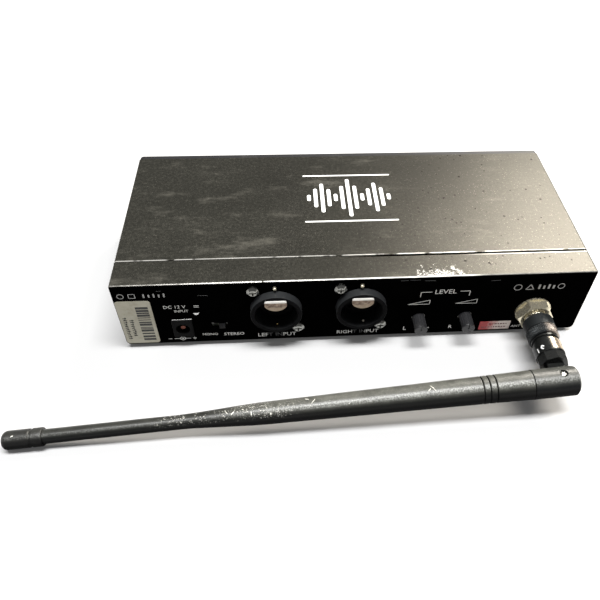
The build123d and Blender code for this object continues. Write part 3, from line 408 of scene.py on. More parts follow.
def socket_plastic(name):
    """A socket's black plastic: the barrel is dark grey; its lip and its mouth get a painted shade of deep
    black.
    """
    finish = Finish(name)
    mottle = finish.noise(180, detail=4.0, rough=0.6)
    rough_grain = finish.bump(finish.noise(2600, detail=2.0), 0.00004, 0.5)
    finish.surface(Base_Color=finish.mix(mottle, (0.010, 0.011, 0.012), (0.022, 0.023, 0.024)),
                   Roughness=0.38 + mottle * 0.1, Specular_IOR_Level=0.45, Normal=rough_grain)
    # Painted shade: the outward lip and the mouth of each bore are deep black with no gloss.
    lip_painted_light = 1 - finish.axes()[1].rise(LIP_Y + 0.0002, LIP_Y + 0.0005)
    mouth_shade = None
    for side in ("left", "right"):
        centre = middle(f"{side}_input_insert")
        x, _, z = finish.axes()
        across, up = x - centre[0], z - centre[2]
        radius = (across * across + up * up).root()
        bore = 1 - radius.rise(MOUTH_R - 0.0002, MOUTH_R + 0.0002)
        mouth_shade = bore if mouth_shade is None else mouth_shade.larger(bore)
    return finish.surface(over=lip_painted_light.larger(mouth_shade), Base_Color=finish.mix(
        mottle, (0.0008, 0.0008, 0.0010), (0.0030, 0.0030, 0.0034)), Roughness=0.7, Specular_IOR_Level=0.05)


def latch_finish(name):
    """A pressed latch: a painted highlight along its bent top edge, and brown, rubbed metal below with a
    paler rim.
    """
    finish = Finish(name)
    z = finish.axes()[2]
    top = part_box("left_input_latch")[1][2]
    blotch = finish.noise(520, detail=5.0, rough=0.7).rise(0.35, 0.65)
    colour = finish.mix(blotch, (0.10, 0.062, 0.040), (0.34, 0.26, 0.19))
    rim = (1 - z.rise(top - 0.0042, top - 0.0030)) * 0.5
    colour = finish.mix(rim, colour, (0.42, 0.34, 0.24))
    # A painted highlight: near-white along the top edge.
    colour = finish.mix(z.rise(top - 0.0011, top - 0.0008) * 0.95, colour, (0.95, 0.93, 0.88))
    return finish.surface(Base_Color=colour, Metallic=0.45, Roughness=0.34 + blotch * 0.12)


def inlet_plastic(name):
    """The inlet's black plastic, with the brown tint of its bore."""
    finish = Finish(name)
    x, y, z = finish.axes()
    centre = middle("dc_inlet_pin")
    across, up = x - centre[0], z - centre[2]
    near = 1 - (across * across + up * up).root().rise(0.0024, 0.0029)
    mottle = finish.noise(300, detail=3.0)
    colour = finish.mix(near * 0.9, finish.mix(mottle, (0.0010, 0.0010, 0.0011), (0.0035, 0.0035, 0.0036)),
                        (0.26, 0.085, 0.060))
    return finish.surface(Base_Color=colour, Roughness=0.6, Specular_IOR_Level=0.05)


LIP_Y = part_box("left_input_shell")[0][1]
MOUTH_R = 9.5 * MM
black_plastic = moulded("black_plastic", (0.003, 0.003, 0.0033), 0.50, gloss=0.10)
input_plastic = socket_plastic("input_plastic")
knob_plastic = moulded("knob_plastic", (0.012, 0.012, 0.013), 0.38, dusty=1.2)
bezel_plastic = moulded("bezel_plastic", (0.008, 0.008, 0.009), 0.48)
foot_rubber = moulded("foot_rubber", (0.015, 0.015, 0.015), 0.80)
nickel = plated("nickel", (0.86, 0.79, 0.60), 0.18, (0.12, 0.09, 0.04), 0.65, metallic=0.88)
# The right contact tip's pale, barely metallic finish: a painted highlight.
painted_glint = plated("contact_glint", (0.95, 0.88, 0.76), 0.20, metallic=0.2)
threaded_nickel = plated("threaded_nickel", (0.70, 0.66, 0.56), 0.20, thread=0.0008)
screw_steel = plated("screw_steel", (0.62, 0.61, 0.58), 0.24)
dark_screw = plated("dark_screw", (0.30, 0.30, 0.28), 0.14, (0.05, 0.05, 0.05), 0.6)
gold = plated("gold", (0.83, 0.60, 0.25), 0.20, (0.30, 0.16, 0.05), 0.3)
zinc = plated("zinc", (0.52, 0.53, 0.54), 0.38, (0.35, 0.33, 0.28), 0.4)
tinned = plated("tinned", (0.60, 0.60, 0.57), 0.34)
copper_brown = plated("dull_copper", (0.15, 0.06, 0.045), 0.45, (0.08, 0.03, 0.02), 0.6)
insulator = moulded("insulator", (0.80, 0.79, 0.75), 0.35)
latch_metal = latch_finish("latch_metal")
inlet_black = inlet_plastic("inlet_plastic")
for nodes, material in [
        (("left_input_shell", "right_input_shell", "left_input_insert", "right_input_insert"), input_plastic),
        (("phones_jack", "tact_switches", "mode_switch_lever"), black_plastic), (("dc_inlet",), inlet_black),
        (("left_level_knob", "right_level_knob", "volume_knob", "power_button", "set_button",
          "down_button", "up_button"), knob_plastic),
        (("socket_screws", "pivot_pin", "cover_screws", "bezel_screws"), dark_screw),
        (("left_input_latch", "right_input_latch"), latch_metal), (("dc_inlet_pin",), copper_brown),
        (("front_bezel",), bezel_plastic), (("rubber_feet",), foot_rubber),
        (("antenna_socket_nut", "lock_washer", "retaining_ring", "left_level_spindle",
          "right_level_spindle", "volume_spindle"), nickel), (("antenna_socket",), threaded_nickel),
        (("pcb_screws", "pcb_standoffs", "ear_nuts"), screw_steel),
        (("input_contacts", "antenna_socket_contact", "plug_pin", "radiator_rod"), gold),
        (("base_tray",), zinc), (("rf_shield", "potentiometers", "mode_switch_body"), tinned),
        (("antenna_socket_insulator", "plug_insulator"), insulator)]:
    for node in nodes:
        wear(node, material)
print("plain finishes given")

# %% [markdown]
# Inside the case, boards, chips and cables are out of sight but still have their own finishes.

# %% Boards and what is on them
boards = Finish("circuit_board")
tracks = boards.node("ShaderNodeTexBrick", None, {
    "Vector": boards.place(), "Scale": 160.0, "Mortar Size": 0.02}, 1)
boards.surface(Base_Color=boards.mix(tracks, (0.010, 0.075, 0.030), (0.030, 0.140, 0.060)),
               Roughness=0.30 + boards.noise(300) * 0.1)
for node in ("main_board", "control_board"):
    wear(node, boards.material)
for node, shade, rough in (("capacitors", (0.02, 0.02, 0.05), 0.35), ("chips", (0.02, 0.02, 0.02), 0.6),
                           ("coax_cable", (0.02, 0.02, 0.02), 0.5), ("ribbon_cable", (0.4, 0.4, 0.4), 0.5),
                           ("display_module", (0.05, 0.06, 0.05), 0.25),
                           ("status_led", (0.30, 0.01, 0.01), 0.12),
                           ("display_window", (0.004, 0.005, 0.006), 0.06)):
    wear(node, moulded(node + "_finish", shade, rough, dusty=0.3, grain_depth=0.00001))
print("inner pieces finished")

# %% [markdown]
# New surfaces are worked out as arrays of points. Most are turned: a profile of radii and stations
# is swung round an axis. Its rings can carry a ripple, which is how the knurl gets its diamonds.

# %% Turned surfaces


def piece(name, points, faces, material, body, smooth=True):
    """Puts points (metres) and faces into a new object that rides on a body."""
    mesh = bpy.data.meshes.new(name)
    mesh.from_pydata(points.tolist(), [], faces)
    mesh.polygons.foreach_set("use_smooth", np.full(len(mesh.polygons), smooth))
    if smooth:
        mesh.set_sharp_from_angle(angle=radians(35))
    mesh.materials.append(material)
    obj = bpy.data.objects.new(name, mesh)
    bpy.context.scene.collection.objects.link(obj)
    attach(obj, body)
    return obj


def arc(centre, radius, start, end, steps=8):
    """Points (r, s) = centre + radius (cos a, sin a), for a from start to end degrees."""
    angles = np.radians(np.linspace(start, end, steps))
    return [(centre[0] + radius * cos(a), centre[1] + radius * sin(a)) for a in angles]


def turned(profile, start, axis, across, sides=96, ripple=None):
    """Swings a profile round an axis: start + s axis + r (cos a across + sin a third).

    The profile's points (r, s) are in millimetres, listed so that the outer side runs along the
    axis, and ripple(s, a) is added to r. Quads join neighbouring rings. A profile that begins and
    ends on the axis is closed there by fans of triangles; any other joins its last ring to its first.
    """
    poles = profile[0][0] == 0 and profile[-1][0] == 0
    ends = [start + profile[end][1] * axis * MM for end in (0, -1)]
    radius, station = np.array(profile[1:-1] if poles else profile, float).T
    angle = np.arange(sides) * tau / sides
    radius = np.repeat(radius[:, None], sides, 1)
    station = np.repeat(station[:, None], sides, 1)
    if ripple:
        radius = radius + ripple(station, angle[None, :])
    third = np.cross(axis, across)
    spoke = np.cos(angle)[None, :, None] * across + np.sin(angle)[None, :, None] * third
    points = start + (station[..., None] * axis + radius[..., None] * spoke) * MM
    index = np.arange(radius.size).reshape(radius.shape)
    after, beside = np.roll(index, -1, 0), np.roll(index, -1, 1)
    quads = np.stack([index, beside, np.roll(after, -1, 1), after], -1)
    if not poles:
        return points.reshape(-1, 3), quads.reshape(-1, 4).tolist()
    first, last = np.full(sides, radius.size), np.full(sides, radius.size + 1)
    fans = [np.stack([first, beside[0], index[0]], -1), np.stack([index[-1], beside[-1], last], -1)]
    faces = quads[:-1].reshape(-1, 4).tolist() + np.concatenate(fans).tolist()
    return np.concatenate([points.reshape(-1, 3), ends]), faces


print("turned surfaces ready")

# %% [markdown]
# The whip is a black flexible rubber sleeve, thick near the elbow and tapering in one place to a
# slim tip. It has lain in a bag with metal parts, so its rubber is grainy and pale nicks sit on it,
# most of them on the taper. Its upper side is painted a grey sheen with a painted highlight line along
# it, and its underside and grooves a painted shade. All are placed by how far along the whip they are
# and how far round it.

# %% Whip finish
DROP_TAPER = (0.119, 0.158)                           # the stretch of the whip that was battered
STREAK_AROUND = 0.42                                     # the painted highlight line's place, radians round from the top


def whip_finish(name, shade, sheen_amount, rough, nicks=(), seams=()):
    """Grainy rubber with ragged nicks: painted shade below and in its seams, a painted sheen above, and a
    painted highlight line.
    """
    finish = Finish(name)
    s = finish.along(whip_dir, pivot)
    high, near = finish.along(pin_dir, pivot), finish.along(near_dir, pivot)
    around = near.angle_from(high)                    # 0 on top, rising towards the near side
    grain = finish.noise(1500, detail=3.0, rough=0.7)
    thick = 1 - s.rise(0.112, 0.150) * 0.72
    # Painted sheen and highlight: the upper side is mixed towards grey, more on the thick part, and a grainy
    # line along it towards a paler grey.
    sheen_side = around.within(-0.75, 0.35, 0.75)
    smear = finish.noise(160, detail=5.0, rough=0.75).rise(0.30, 0.70)
    painted_streak = around.within(STREAK_AROUND - 0.06, STREAK_AROUND + 0.06, 0.26) * grain.rise(0.40, 0.66)
    fleck = finish.noise(2300, detail=2.0, rough=0.8).rise(0.50, 0.72)
    painted_sheen = sheen_side * (0.30 + smear * 0.35 + fleck * 0.35) * thick * sheen_amount
    colour = finish.mix(painted_sheen, shade, (0.27, 0.27, 0.235))
    colour = finish.mix(painted_streak * thick * sheen_amount, colour, (0.42, 0.43, 0.41))
    battered = s.within(*DROP_TAPER, 0.014) * around.within(-1.2, 0.85, 0.35)
    cluster = finish.noise(210, detail=3.0, rough=0.7).rise(0.43, 0.52)
    chips = finish.noise(1500, detail=4.0, rough=0.8).rise(0.57, 0.63) * cluster
    specks = finish.specks(560, 0.16, 0.04, 0.20) * finish.noise(1700, detail=2.0).rise(0.42, 0.54)
    few = finish.specks(260, 0.08, 0.03, 0.10) * around.within(-1.2, 0.9, 0.3)
    hurt = (chips.larger(specks) * battered).larger(few * 0.6)
    wobble = (finish.noise(900, detail=4.0, rough=0.8) - 0.5) * 0.0016
    for place, angle, length, width, lean in nicks:
        u = s - place * MM
        v = (around - angle) * (5.0 * MM) - u * lean + wobble
        away = (u.size() * (1 / length)).larger(v.size() * (1 / width))
        hurt = hurt.larger(1 - away.rise(0.0007, 0.0010))
    colour = finish.mix(hurt * 0.95, colour, (0.78, 0.77, 0.70))
    normal = finish.bump(hurt, 0.00015, 0.6, finish.bump(grain, 0.00012, 0.55))
    finish.surface(Base_Color=colour, Roughness=rough + (grain - 0.5) * 0.25 + hurt * 0.3,
                   Specular_IOR_Level=0.40, Normal=normal)
    # Painted shade: the underside, the elbow's seam and the ring grooves take a near-black, matt shader.
    under = around.rise(0.55, 1.45).larger(1 - around.rise(-2.0, -0.85))
    for place, half in seams:
        under = under.larger(s.within((place - half) * MM, (place + half) * MM, 0.0001))
    shadow = finish.mix(grain, (0.001, 0.001, 0.001), (0.005, 0.005, 0.005))
    return finish.surface(over=under * 0.93, Base_Color=shadow, Roughness=0.8, Specular_IOR_Level=0.02)


# Nicks: mm along the whip, radians round from the top, length and width in mm, lean.
NICKS = [(54.6, 0.00, 1.1, 0.22, -1.3), (56.2, 0.12, 0.6, 0.20, 0.8), (103.5, -0.02, 0.9, 0.22, 1.3),
         (106.0, -0.30, 0.9, 0.22, -0.4), (128.5, 0.50, 0.22, 0.9, 0.2), (136.0, 0.25, 0.7, 0.35, 1.2),
         (131.8, 0.00, 0.3, 0.25, 0.0), (120.8, 0.70, 0.35, 0.4, 0.3), (138.5, 0.05, 0.7, 0.2, -1.5)]
WHIP_BLACK = (0.004, 0.0045, 0.004)
ELBOW_FRONT, RINGS = 12.5, (28.4, 31.2, 33.9)         # mm from the pin: the elbow's end, the moulded rings
SEAMS = [(ELBOW_FRONT + 0.15, 0.25)] + [(ring, 0.2) for ring in RINGS]
sleeve_finish = whip_finish("whip_rubber", WHIP_BLACK, 0.55, 0.33, NICKS, SEAMS)
elbow_finish = whip_finish("elbow_plastic", (0.004, 0.005, 0.006), 0.38, 0.34)
wear("whip_elbow", elbow_finish)
print("whip finish has", len(NICKS), "large nicks")

# %% [markdown]
# The sleeve is turned from one closed profile: outer side from the elbow to the tip, then back along
# its bore. Three rings are moulded into its thick end. The real rubber isn't perfectly true, so its
# radius swells by a few hundredths of a millimetre here and there. The tip cap is a separate piece
# with a rounded end and a groove.

# %% Whip sleeve and tip cap
CAP_R, CAP_START, CAP_END, CAP_ROUND = 3.8, 211.0, 227.0, 2.4
SLEEVE = [(6.2, ELBOW_FRONT), (5.75, 35.0), (4.65, 120.0), (4.55, 126.0), (3.0, 154.0), (2.95, 160.0),
          (2.95, CAP_START)]                          # radius and station, both in mm
RING_W, RING_DEEP, RINGED_END = 0.7, 0.45, 36.0
SPIGOT_R, ROD_R, SPIGOT_END, ROD_END = 3.5, 1.2, 24.0, 222.0


def sleeve_radius(s):
    """The sleeve's radius at a station: straight tapers, smoothed, less the three ring grooves."""
    radii, stations = np.array(SLEEVE).T
    blurred = np.mean([np.interp(s + shift, stations, radii) for shift in np.linspace(-4, 4, 9)], 0)
    groove = sum(np.clip(1.15 - np.abs(s - ring) / (RING_W / 2), 0, 1) for ring in RINGS)
    return blurred - RING_DEEP * np.clip(groove, 0, 1)


def swelling(s, a):
    """A sum of slow waves along and round the rubber, up to 0.03 mm each way."""
    return 0.015 * np.sin(s / 7.1 + 2 * a) + 0.015 * np.sin(s / 3.3 - a)


fine = np.concatenate([np.arange(ELBOW_FRONT + 0.15, RINGED_END, 0.12),
                       np.arange(RINGED_END, CAP_START - 0.2, 0.6), [CAP_START - 0.05]])
outer = [(5.9, ELBOW_FRONT)] + list(zip(sleeve_radius(fine), fine)) + [(2.8, CAP_START)]
bore = [(ROD_R, CAP_START), (ROD_R, SPIGOT_END), (SPIGOT_R, SPIGOT_END), (SPIGOT_R, ELBOW_FRONT)]
points, faces = turned(outer + bore, pivot, whip_dir, pin_dir, 96, swelling)
sleeve = piece("whip_sleeve_skin", points, faces, sleeve_finish, "whip")
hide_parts("whip_sleeve")

cap_profile = ([(0, ROD_END), (ROD_R, ROD_END), (ROD_R, CAP_START), (3.2, CAP_START)]
               + arc((3.3, CAP_START + 0.5), 0.5, -90, 0, 5)
               + [(CAP_R, CAP_START + 3.9), (CAP_R - 0.35, CAP_START + 4.3), (CAP_R - 0.35, CAP_START + 4.9),
                  (CAP_R, CAP_START + 5.3)] + [(CAP_R, s) for s in np.linspace(CAP_START + 6, 224.0, 10)]
               + arc((CAP_R - CAP_ROUND, CAP_END - CAP_ROUND), CAP_ROUND, 0, 88, 14)
               + [(0, CAP_END)])
points, faces = turned(cap_profile, pivot, whip_dir, pin_dir, 72)
cap_finish = whip_finish("tip_rubber", (0.004, 0.004, 0.004), 0.5, 0.42, [(222.0, 0.2, 0.5, 0.3, 0.6)])
tip = piece("tip_cap_skin", points, faces, cap_finish, "whip")
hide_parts("tip_cap")
print("whip sleeve of", len(sleeve.data.polygons), "faces, tip cap of", len(tip.data.polygons))

# %% [markdown]
# The bayonet coupling is black-plated brass: a smooth collar, a thin groove, then a knurled grip.
# A diamond knurl is two sets of V grooves that wind opposite ways, so its height at a point is the
# smaller of two triangle waves. The plating shows rubbed spots of metal here and there, and on the
# upper right of the knurl and of the plug's barrel a band of bronze metal is a painted highlight.

# %% Coupling and plug
COUPLING_R, COUPLING_T0, KNURL_T0, COUPLING_T1 = 6.8, 7.6, 13.4, 18.1
KNURL_COUNT, KNURL_LEAN, KNURL_DEEP = 40, 5.6, 0.28
antenna_start = np.array([ant_x, panel_y, ant_z])
OUT, UP = np.array([0.0, -1.0, 0.0]), np.array([0.0, 0.0, 1.0])


def knurl(t, a):
    """Minus the depth of the diamond grooves, between the groove ring and the nut's end."""
    wind = KNURL_COUNT * a / tau
    left = np.abs((wind + t * KNURL_LEAN / 6) % 1.0 - 0.5) * 2
    leaning = np.abs((wind - t * KNURL_LEAN / 6) % 1.0 - 0.5) * 2
    diamonds = np.clip(np.minimum(left, leaning) * 1.6, 0, 1)
    band = (t > KNURL_T0 + 0.35) & (t < COUPLING_T1 - 0.35)
    return np.where(band, -KNURL_DEEP * (1 - diamonds), 0.0)


def bared(name, shade, metal, share, band, rough):
    """Black plating with rubbed spots of metal, and on the upper right, in one band of t, a painted highlight
    of metal.
    """
    finish = Finish(name)
    x, y, z = finish.axes()
    out_by = panel_y - y
    rub = finish.noise(260, detail=5.0, rough=0.7).rise(0.66 - share, 0.80 - share) * 0.6
    # Painted highlight: metal colour on the upper right, within one band along the axis.
    lit_right_top = (x - ant_x).rise(-0.0015, 0.0030) * (z - ant_z).rise(0.0, 0.0030)
    highlight_band = lit_right_top * out_by.within(band[0] * MM, band[1] * MM, 0.0005)
    rub = rub.larger(highlight_band * finish.noise(800, detail=3.0).rise(0.28, 0.50))
    return finish.surface(Base_Color=finish.mix(rub, shade, metal), Metallic=0.65 + rub * 0.2,
                          Roughness=rough + finish.noise(900, detail=3.0) * 0.14 - rub * 0.08,
                          Normal=finish.bump(finish.noise(1500, detail=2.0), 0.00003, 0.4))


collar = ([(6.5, COUPLING_T0)]
          + [(COUPLING_R, t) for t in np.linspace(COUPLING_T0 + 0.3, KNURL_T0 - 0.25, 12)]
          + [(COUPLING_R - 0.35, KNURL_T0 - 0.1), (COUPLING_R - 0.35, KNURL_T0 + 0.1)]
          + [(COUPLING_R, t) for t in np.linspace(KNURL_T0 + 0.25, COUPLING_T1 - 0.3, 46)]
          + [(COUPLING_R - 0.4, COUPLING_T1), (4.6, COUPLING_T1), (4.6, 16.95), (5.8, 16.95),
             (5.8, COUPLING_T0)])
points, faces = turned(collar, antenna_start, OUT, UP, 480, knurl)
coupling_finish = bared("black_plating", (0.030, 0.033, 0.034), (0.42, 0.36, 0.31), 0.02,
                        (KNURL_T0, COUPLING_T1), 0.34)
nut = piece("coupling_grip", points, faces, coupling_finish, "coupling")
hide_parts("coupling_nut")
barrel_finish = bared("barrel_plating", (0.022, 0.023, 0.022), (0.62, 0.50, 0.36), 0.02, (20.5, 26.5), 0.22)
wear("plug_shell", barrel_finish)
print("coupling grip of", len(nut.data.polygons), "faces")

# %% [markdown]
# Printing, tape and paint dabs are thin closed sheets that lie on the surfaces. Each is drawn flat,
# in millimetres, as strokes of even width or as filled outlines. Then it is laid on the rear
# panel, the front, the top or round the plug's barrel. Lettering starts as a text curve.

# %% Thin printed shapes
SHEET_T = 0.012                                       # thickness of a layer of ink, in millimetres


def laid(points, place):
    """Flat (u, v, lift) in millimetres to metres on a face of the unit, right way up seen from outside."""
    u, v, lift = points.T * MM
    if place == "rear":
        return np.stack([u, panel_y - lift, v], -1)
    if place == "front":
        return np.stack([-u, front_y + lift, v], -1)
    if place == "top":
        return np.stack([u, v, top_z + lift], -1)
    radius = place * MM + lift                        # round the plug's barrel: u round it, v along it
    angle = u / (place * MM)
    return np.stack([ant_x + radius * np.sin(angle), panel_y + v, ant_z + radius * np.cos(angle)], -1)


class Layer:
    """Flat closed shapes that become one piece of ink or tape."""

    def __init__(self, thickness=SHEET_T, lift=0.0):
        self.points, self.faces, self.count = [], [], 0
        self.low, self.high = lift, lift + thickness

    def add(self, points, faces):
        self.points.append(points)
        self.faces += [[index + self.count for index in face] for face in faces]
        self.count += len(points)

    def outline(self, corners):
        """A filled outline, listed anticlockwise, with a top, a bottom and sides."""
        flat = np.array(corners, float)
        n = len(flat)
        ring = np.arange(n)
        sides = np.stack([ring, np.roll(ring, -1), np.roll(ring, -1) + n, ring + n], -1).tolist()
        points = np.concatenate([np.column_stack([flat, np.full(n, h)]) for h in (self.low, self.high)])
        self.add(points, [ring[::-1].tolist(), (ring + n).tolist()] + sides)

    def stroke(self, start, end, width):
        """A straight bar from start to end."""
        start, end = np.array(start, float), np.array(end, float)
        side = np.array([end[1] - start[1], start[0] - end[0]]) / np.linalg.norm(end - start) * width / 2
        self.outline([start + side, end + side, end - side, start - side])

    def path(self, corners, width):
        """Bars joined end to end."""
        for start, end in zip(corners, corners[1:]):
            self.stroke(start, end, width)

    def ring(self, centre, radius, width, steps=28):
        """A closed circular band: quads between an inner and an outer circle, above and below."""
        angle = np.arange(steps) * tau / steps
        circle = np.stack([np.cos(angle), np.sin(angle)], -1)
        flat = [(np.array(centre) + circle * r, h) for h in (self.low, self.high)
                for r in (radius + width / 2, radius - width / 2)]
        points = np.concatenate([np.column_stack([p, np.full(steps, h)]) for p, h in flat])
        k, nxt = np.arange(steps), np.roll(np.arange(steps), -1)
        walls = [(1, 0, k, nxt), (2, 3, k, nxt), (0, 2, k, nxt), (3, 1, k, nxt)]
        quads = [np.stack([a * steps + i, a * steps + j, b * steps + j, b * steps + i], -1)
                 for a, b, i, j in walls]
        self.add(points, np.concatenate(quads).tolist())

    def text(self, words, centre, width, turn=0.0):
        """Lettering of a given width about a centre, as solid letters the layer's thickness high."""
        curve = bpy.data.curves.new("words", "FONT")
        curve.body, curve.extrude, curve.resolution_u = words, 0.5, 2
        text = bpy.data.objects.new("words", curve)
        bpy.context.scene.collection.objects.link(text)
        mesh = bpy.data.meshes.new_from_object(text.evaluated_get(bpy.context.evaluated_depsgraph_get()))
        flat = np.empty(len(mesh.vertices) * 3)
        mesh.vertices.foreach_get("co", flat)
        flat, merged = np.unique(np.round(flat.reshape(-1, 3), 5), axis=0, return_inverse=True)
        faces = [merged.ravel()[list(face.vertices)].tolist() for face in mesh.polygons]
        for thing, store in ((text, bpy.data.objects), (curve, bpy.data.curves), (mesh, bpy.data.meshes)):
            store.remove(thing)
        low, high = flat.min(0), flat.max(0)
        flat[:, :2] = (flat[:, :2] - (low + high)[:2] / 2) * width / (high[0] - low[0])
        turned_flat = flat[:, :2] @ np.array([[cos(turn), sin(turn)], [-sin(turn), cos(turn)]])
        lift = self.low + (flat[:, 2] + 0.5) * (self.high - self.low)
        self.add(np.column_stack([turned_flat + np.array(centre), lift]), faces)

    def make(self, name, place, material, body="case"):
        points = laid(np.concatenate(self.points), place)
        return piece(name, points, self.faces, material, body, smooth=False)


def ink(name, shade, worn=0.25, rough=0.5, dark_spans=()):
    """Screen-printed ink: one shade, rubbed thin in places, and near black low on the panel within each of
    the given spans of x.
    """
    finish = Finish(name)
    rub = finish.noise(700, detail=4.0, rough=0.7).rise(0.52, 0.78)
    darker = tuple(channel * 0.45 for channel in shade)
    colour = finish.mix(rub * worn, shade, darker)
    for low, high in dark_spans:
        x, _, z = finish.axes()
        darkened = x.within(low * MM, high * MM, 0.0014) * (1 - z.rise(0.0075, 0.0085))
        colour = finish.mix(darkened * 0.97, colour, (0.004, 0.004, 0.004))
    return finish.surface(Base_Color=colour, Roughness=rough + rub * 0.2)


white_ink = ink("white_ink", (0.62, 0.62, 0.59), 0.9, dark_spans=((-40.3, -34.6), (-1.4, 3.2)))
grey_ink = ink("grey_ink", (0.30, 0.30, 0.29), 1.0)
print("ink mixed")

# %% [markdown]
# The rear panel's legends say what each socket and control is for: words for the inputs and the mode
# switch, a bracket and two wedges for the level controls, and the usual sign of a centre-positive
# inlet. The approval signs that such a panel carries are plain geometric stand-ins.

# %% Rear legends
STROKE = 0.32
legends = Layer(lift=0.002)
for words, centre, width in [
        ("DC 12 V", (-80.0, 26.5), 9.4), ("INPUT", (-77.4, 23.7), 6.0), ("MONO", (-66.8, 7.5), 6.8),
        ("STEREO", (-56.1, 7.2), 9.0),
        ("LEFT INPUT", (-36.6, 5.7), 17.4), ("RIGHT INPUT", (0.6, 5.7), 19.4), ("LEVEL", (38.4, 30.6), 9.6),
        ("L", (22.6, 6.6), 1.4), ("R", (44.2, 6.6), 1.6), ("ANT", (76.0, 5.3), 4.6)]:
    legends.text(words, centre, width)
for stem_x, turn_x in ((27.3, 32.2), (49.3, 44.8)):
    legends.path([(stem_x, 27.6), (stem_x, 30.6), (turn_x, 30.6)], STROKE)
for tip_x, tip_z in ((22.2, 22.9), (43.8, 22.6)):
    end_x = tip_x + 9.8
    legends.path([(end_x, tip_z - 0.1), (tip_x, tip_z), (end_x, tip_z + 2.5), (end_x, tip_z - 0.1)], STROKE)
for x, z in ((33.6, 6.4), (55.2, 6.2)):
    legends.stroke((x - 0.5, z), (x + 0.5, z), 0.4)
legends.path([(-85.9, 5.2), (-84.3, 5.2)], STROKE)                        # minus, the inlet sign, plus
legends.path([(-83.2, 5.2), (-80.6, 5.2)], STROKE)
legends.ring((-79.4, 5.2), 1.1, STROKE)
legends.ring((-79.4, 5.2), 0.25, 0.4)
legends.path([(-78.2, 5.2), (-75.8, 5.2)], STROKE)
legends.stroke((-74.9, 5.2), (-73.3, 5.2), STROKE)
legends.stroke((-74.1, 4.4), (-74.1, 6.0), STROKE)
legends.path([(-71.8, 26.0), (-69.6, 26.0)], STROKE)
legends.path([(-71.8, 26.9), (-69.6, 26.9)], STROKE)
legends.make("rear_legends", "rear", white_ink)

signs = Layer(lift=0.002)                                                   # stand-ins, left and right
signs.ring((-101.2, 34.0), 1.3, STROKE)
signs.path([(-97.8, 32.8), (-95.2, 32.8), (-95.2, 35.2), (-97.8, 35.2), (-97.8, 32.8)], STROKE)
for step in range(5):
    signs.stroke((-91.6 + 2.1 * step, 32.9), (-91.6 + 2.1 * step, 35.1 - 0.5 * (step % 2)), 0.7)
signs.ring((70.6, 31.8), 1.7, 0.45)
signs.path([(74.4, 30.3), (78.0, 30.3), (76.2, 33.4), (74.4, 30.3)], 0.45)
for step in range(4):
    signs.stroke((80.4 + 2.2 * step, 30.4), (80.4 + 2.2 * step, 33.2 - 0.7 * (step % 2)), 0.9)
signs.ring((90.4, 31.8), 1.5, STROKE)
signs.make("panel_signs", "rear", grey_ink)
print("rear panel printed")

# %% [markdown]
# Stock-keeping has left two labels on the panel: a grey paper one with a bar code down its right
# side, and a small red and white tape one that is half scraped off. Their bars and lines of small
# print are dealt by seeded dice and spell nothing. A flake of white paint sits beside the inlet, and a
# white line along the inlet's upper edge is a painted highlight.

# %% Labels and marks
LABEL_T = 0.08


def paper(name, shade, stain, red=None):
    """Paper or tape: fibrous mottling, stains, and if asked a red print that is worn off at one end."""
    finish = Finish(name)
    stains = finish.noise(160, detail=5.0, rough=0.7).rise(0.42, 0.72)
    colour = finish.mix(stains, shade, stain)
    if red:
        ragged = finish.axes()[0] + finish.noise(500, detail=4.0, rough=0.8) * 0.011
        colour = finish.mix(1 - ragged.rise(red[0], red[1]), colour, (0.30, 0.020, 0.022))
    return finish.surface(Base_Color=colour, Roughness=0.55 + stains * 0.2,
                          Normal=finish.bump(finish.noise(900, detail=5.0), 0.00003, 0.4))


def rounded_box(low, high, radius):
    """A rectangle with rounded corners, anticlockwise from its lower right corner."""
    (left, bottom), (right_side, top) = low, high
    corners = [((right_side - radius, bottom + radius), -90), ((right_side - radius, top - radius), 0),
               ((left + radius, top - radius), 90), ((left + radius, bottom + radius), 180)]
    return [point for centre, angle in corners for point in arc(centre, radius, angle, angle + 90, 7)]


label_paper = paper("label_paper", (0.40, 0.38, 0.30), (0.30, 0.28, 0.21))
tape_paper = paper("tape_paper", (0.50, 0.44, 0.40), (0.26, 0.20, 0.18), red=(0.0665, 0.0735))
label = Layer(LABEL_T)
label.outline(rounded_box((-104.5, 3.2), (-89.7, 31.0), 1.4))
label.make("stock_label", "rear", label_paper)
bars = Layer(lift=LABEL_T)
level = 5.0
while level < 27.0:
    thick = dice.choice([0.5, 0.9, 1.4])
    bars.stroke((-96.6, level + thick / 2), (-91.2, level + thick / 2), thick)
    level += thick + dice.choice([0.35, 0.55, 0.9])
for column, (low, high) in ((-102.3, (6.5, 21.0)), (-99.6, (8.5, 19.5))):
    level = low
    while level < high:
        tall = dice.uniform(0.5, 0.9)
        bars.stroke((column - 0.9, level), (column + dice.uniform(0.3, 1.0), level), 0.5)
        bars.stroke((column + dice.uniform(-0.7, 0.7), level - 0.2), (column + 0.2, level + tall), 0.5)
        level += tall + 0.55
bars.make("label_print", "rear", ink("label_ink", (0.014, 0.014, 0.012), 0.4))

tape = Layer(LABEL_T)
tape.outline(rounded_box((58.1, 3.6), (72.9, 9.2), 0.3))
tape.make("tape_label", "rear", tape_paper)
tape_print = Layer(lift=LABEL_T)
for row_z, start in ((7.4, 62.6), (5.3, 59.4)):
    place = start
    while place < 71.0:
        wide = dice.uniform(0.5, 1.3)
        tape_print.stroke((place, row_z), (place + wide, row_z), dice.uniform(0.5, 0.9))
        place += wide + 0.4
tape_print.make("tape_print", "rear", ink("tape_ink", (0.07, 0.012, 0.012), 0.5))

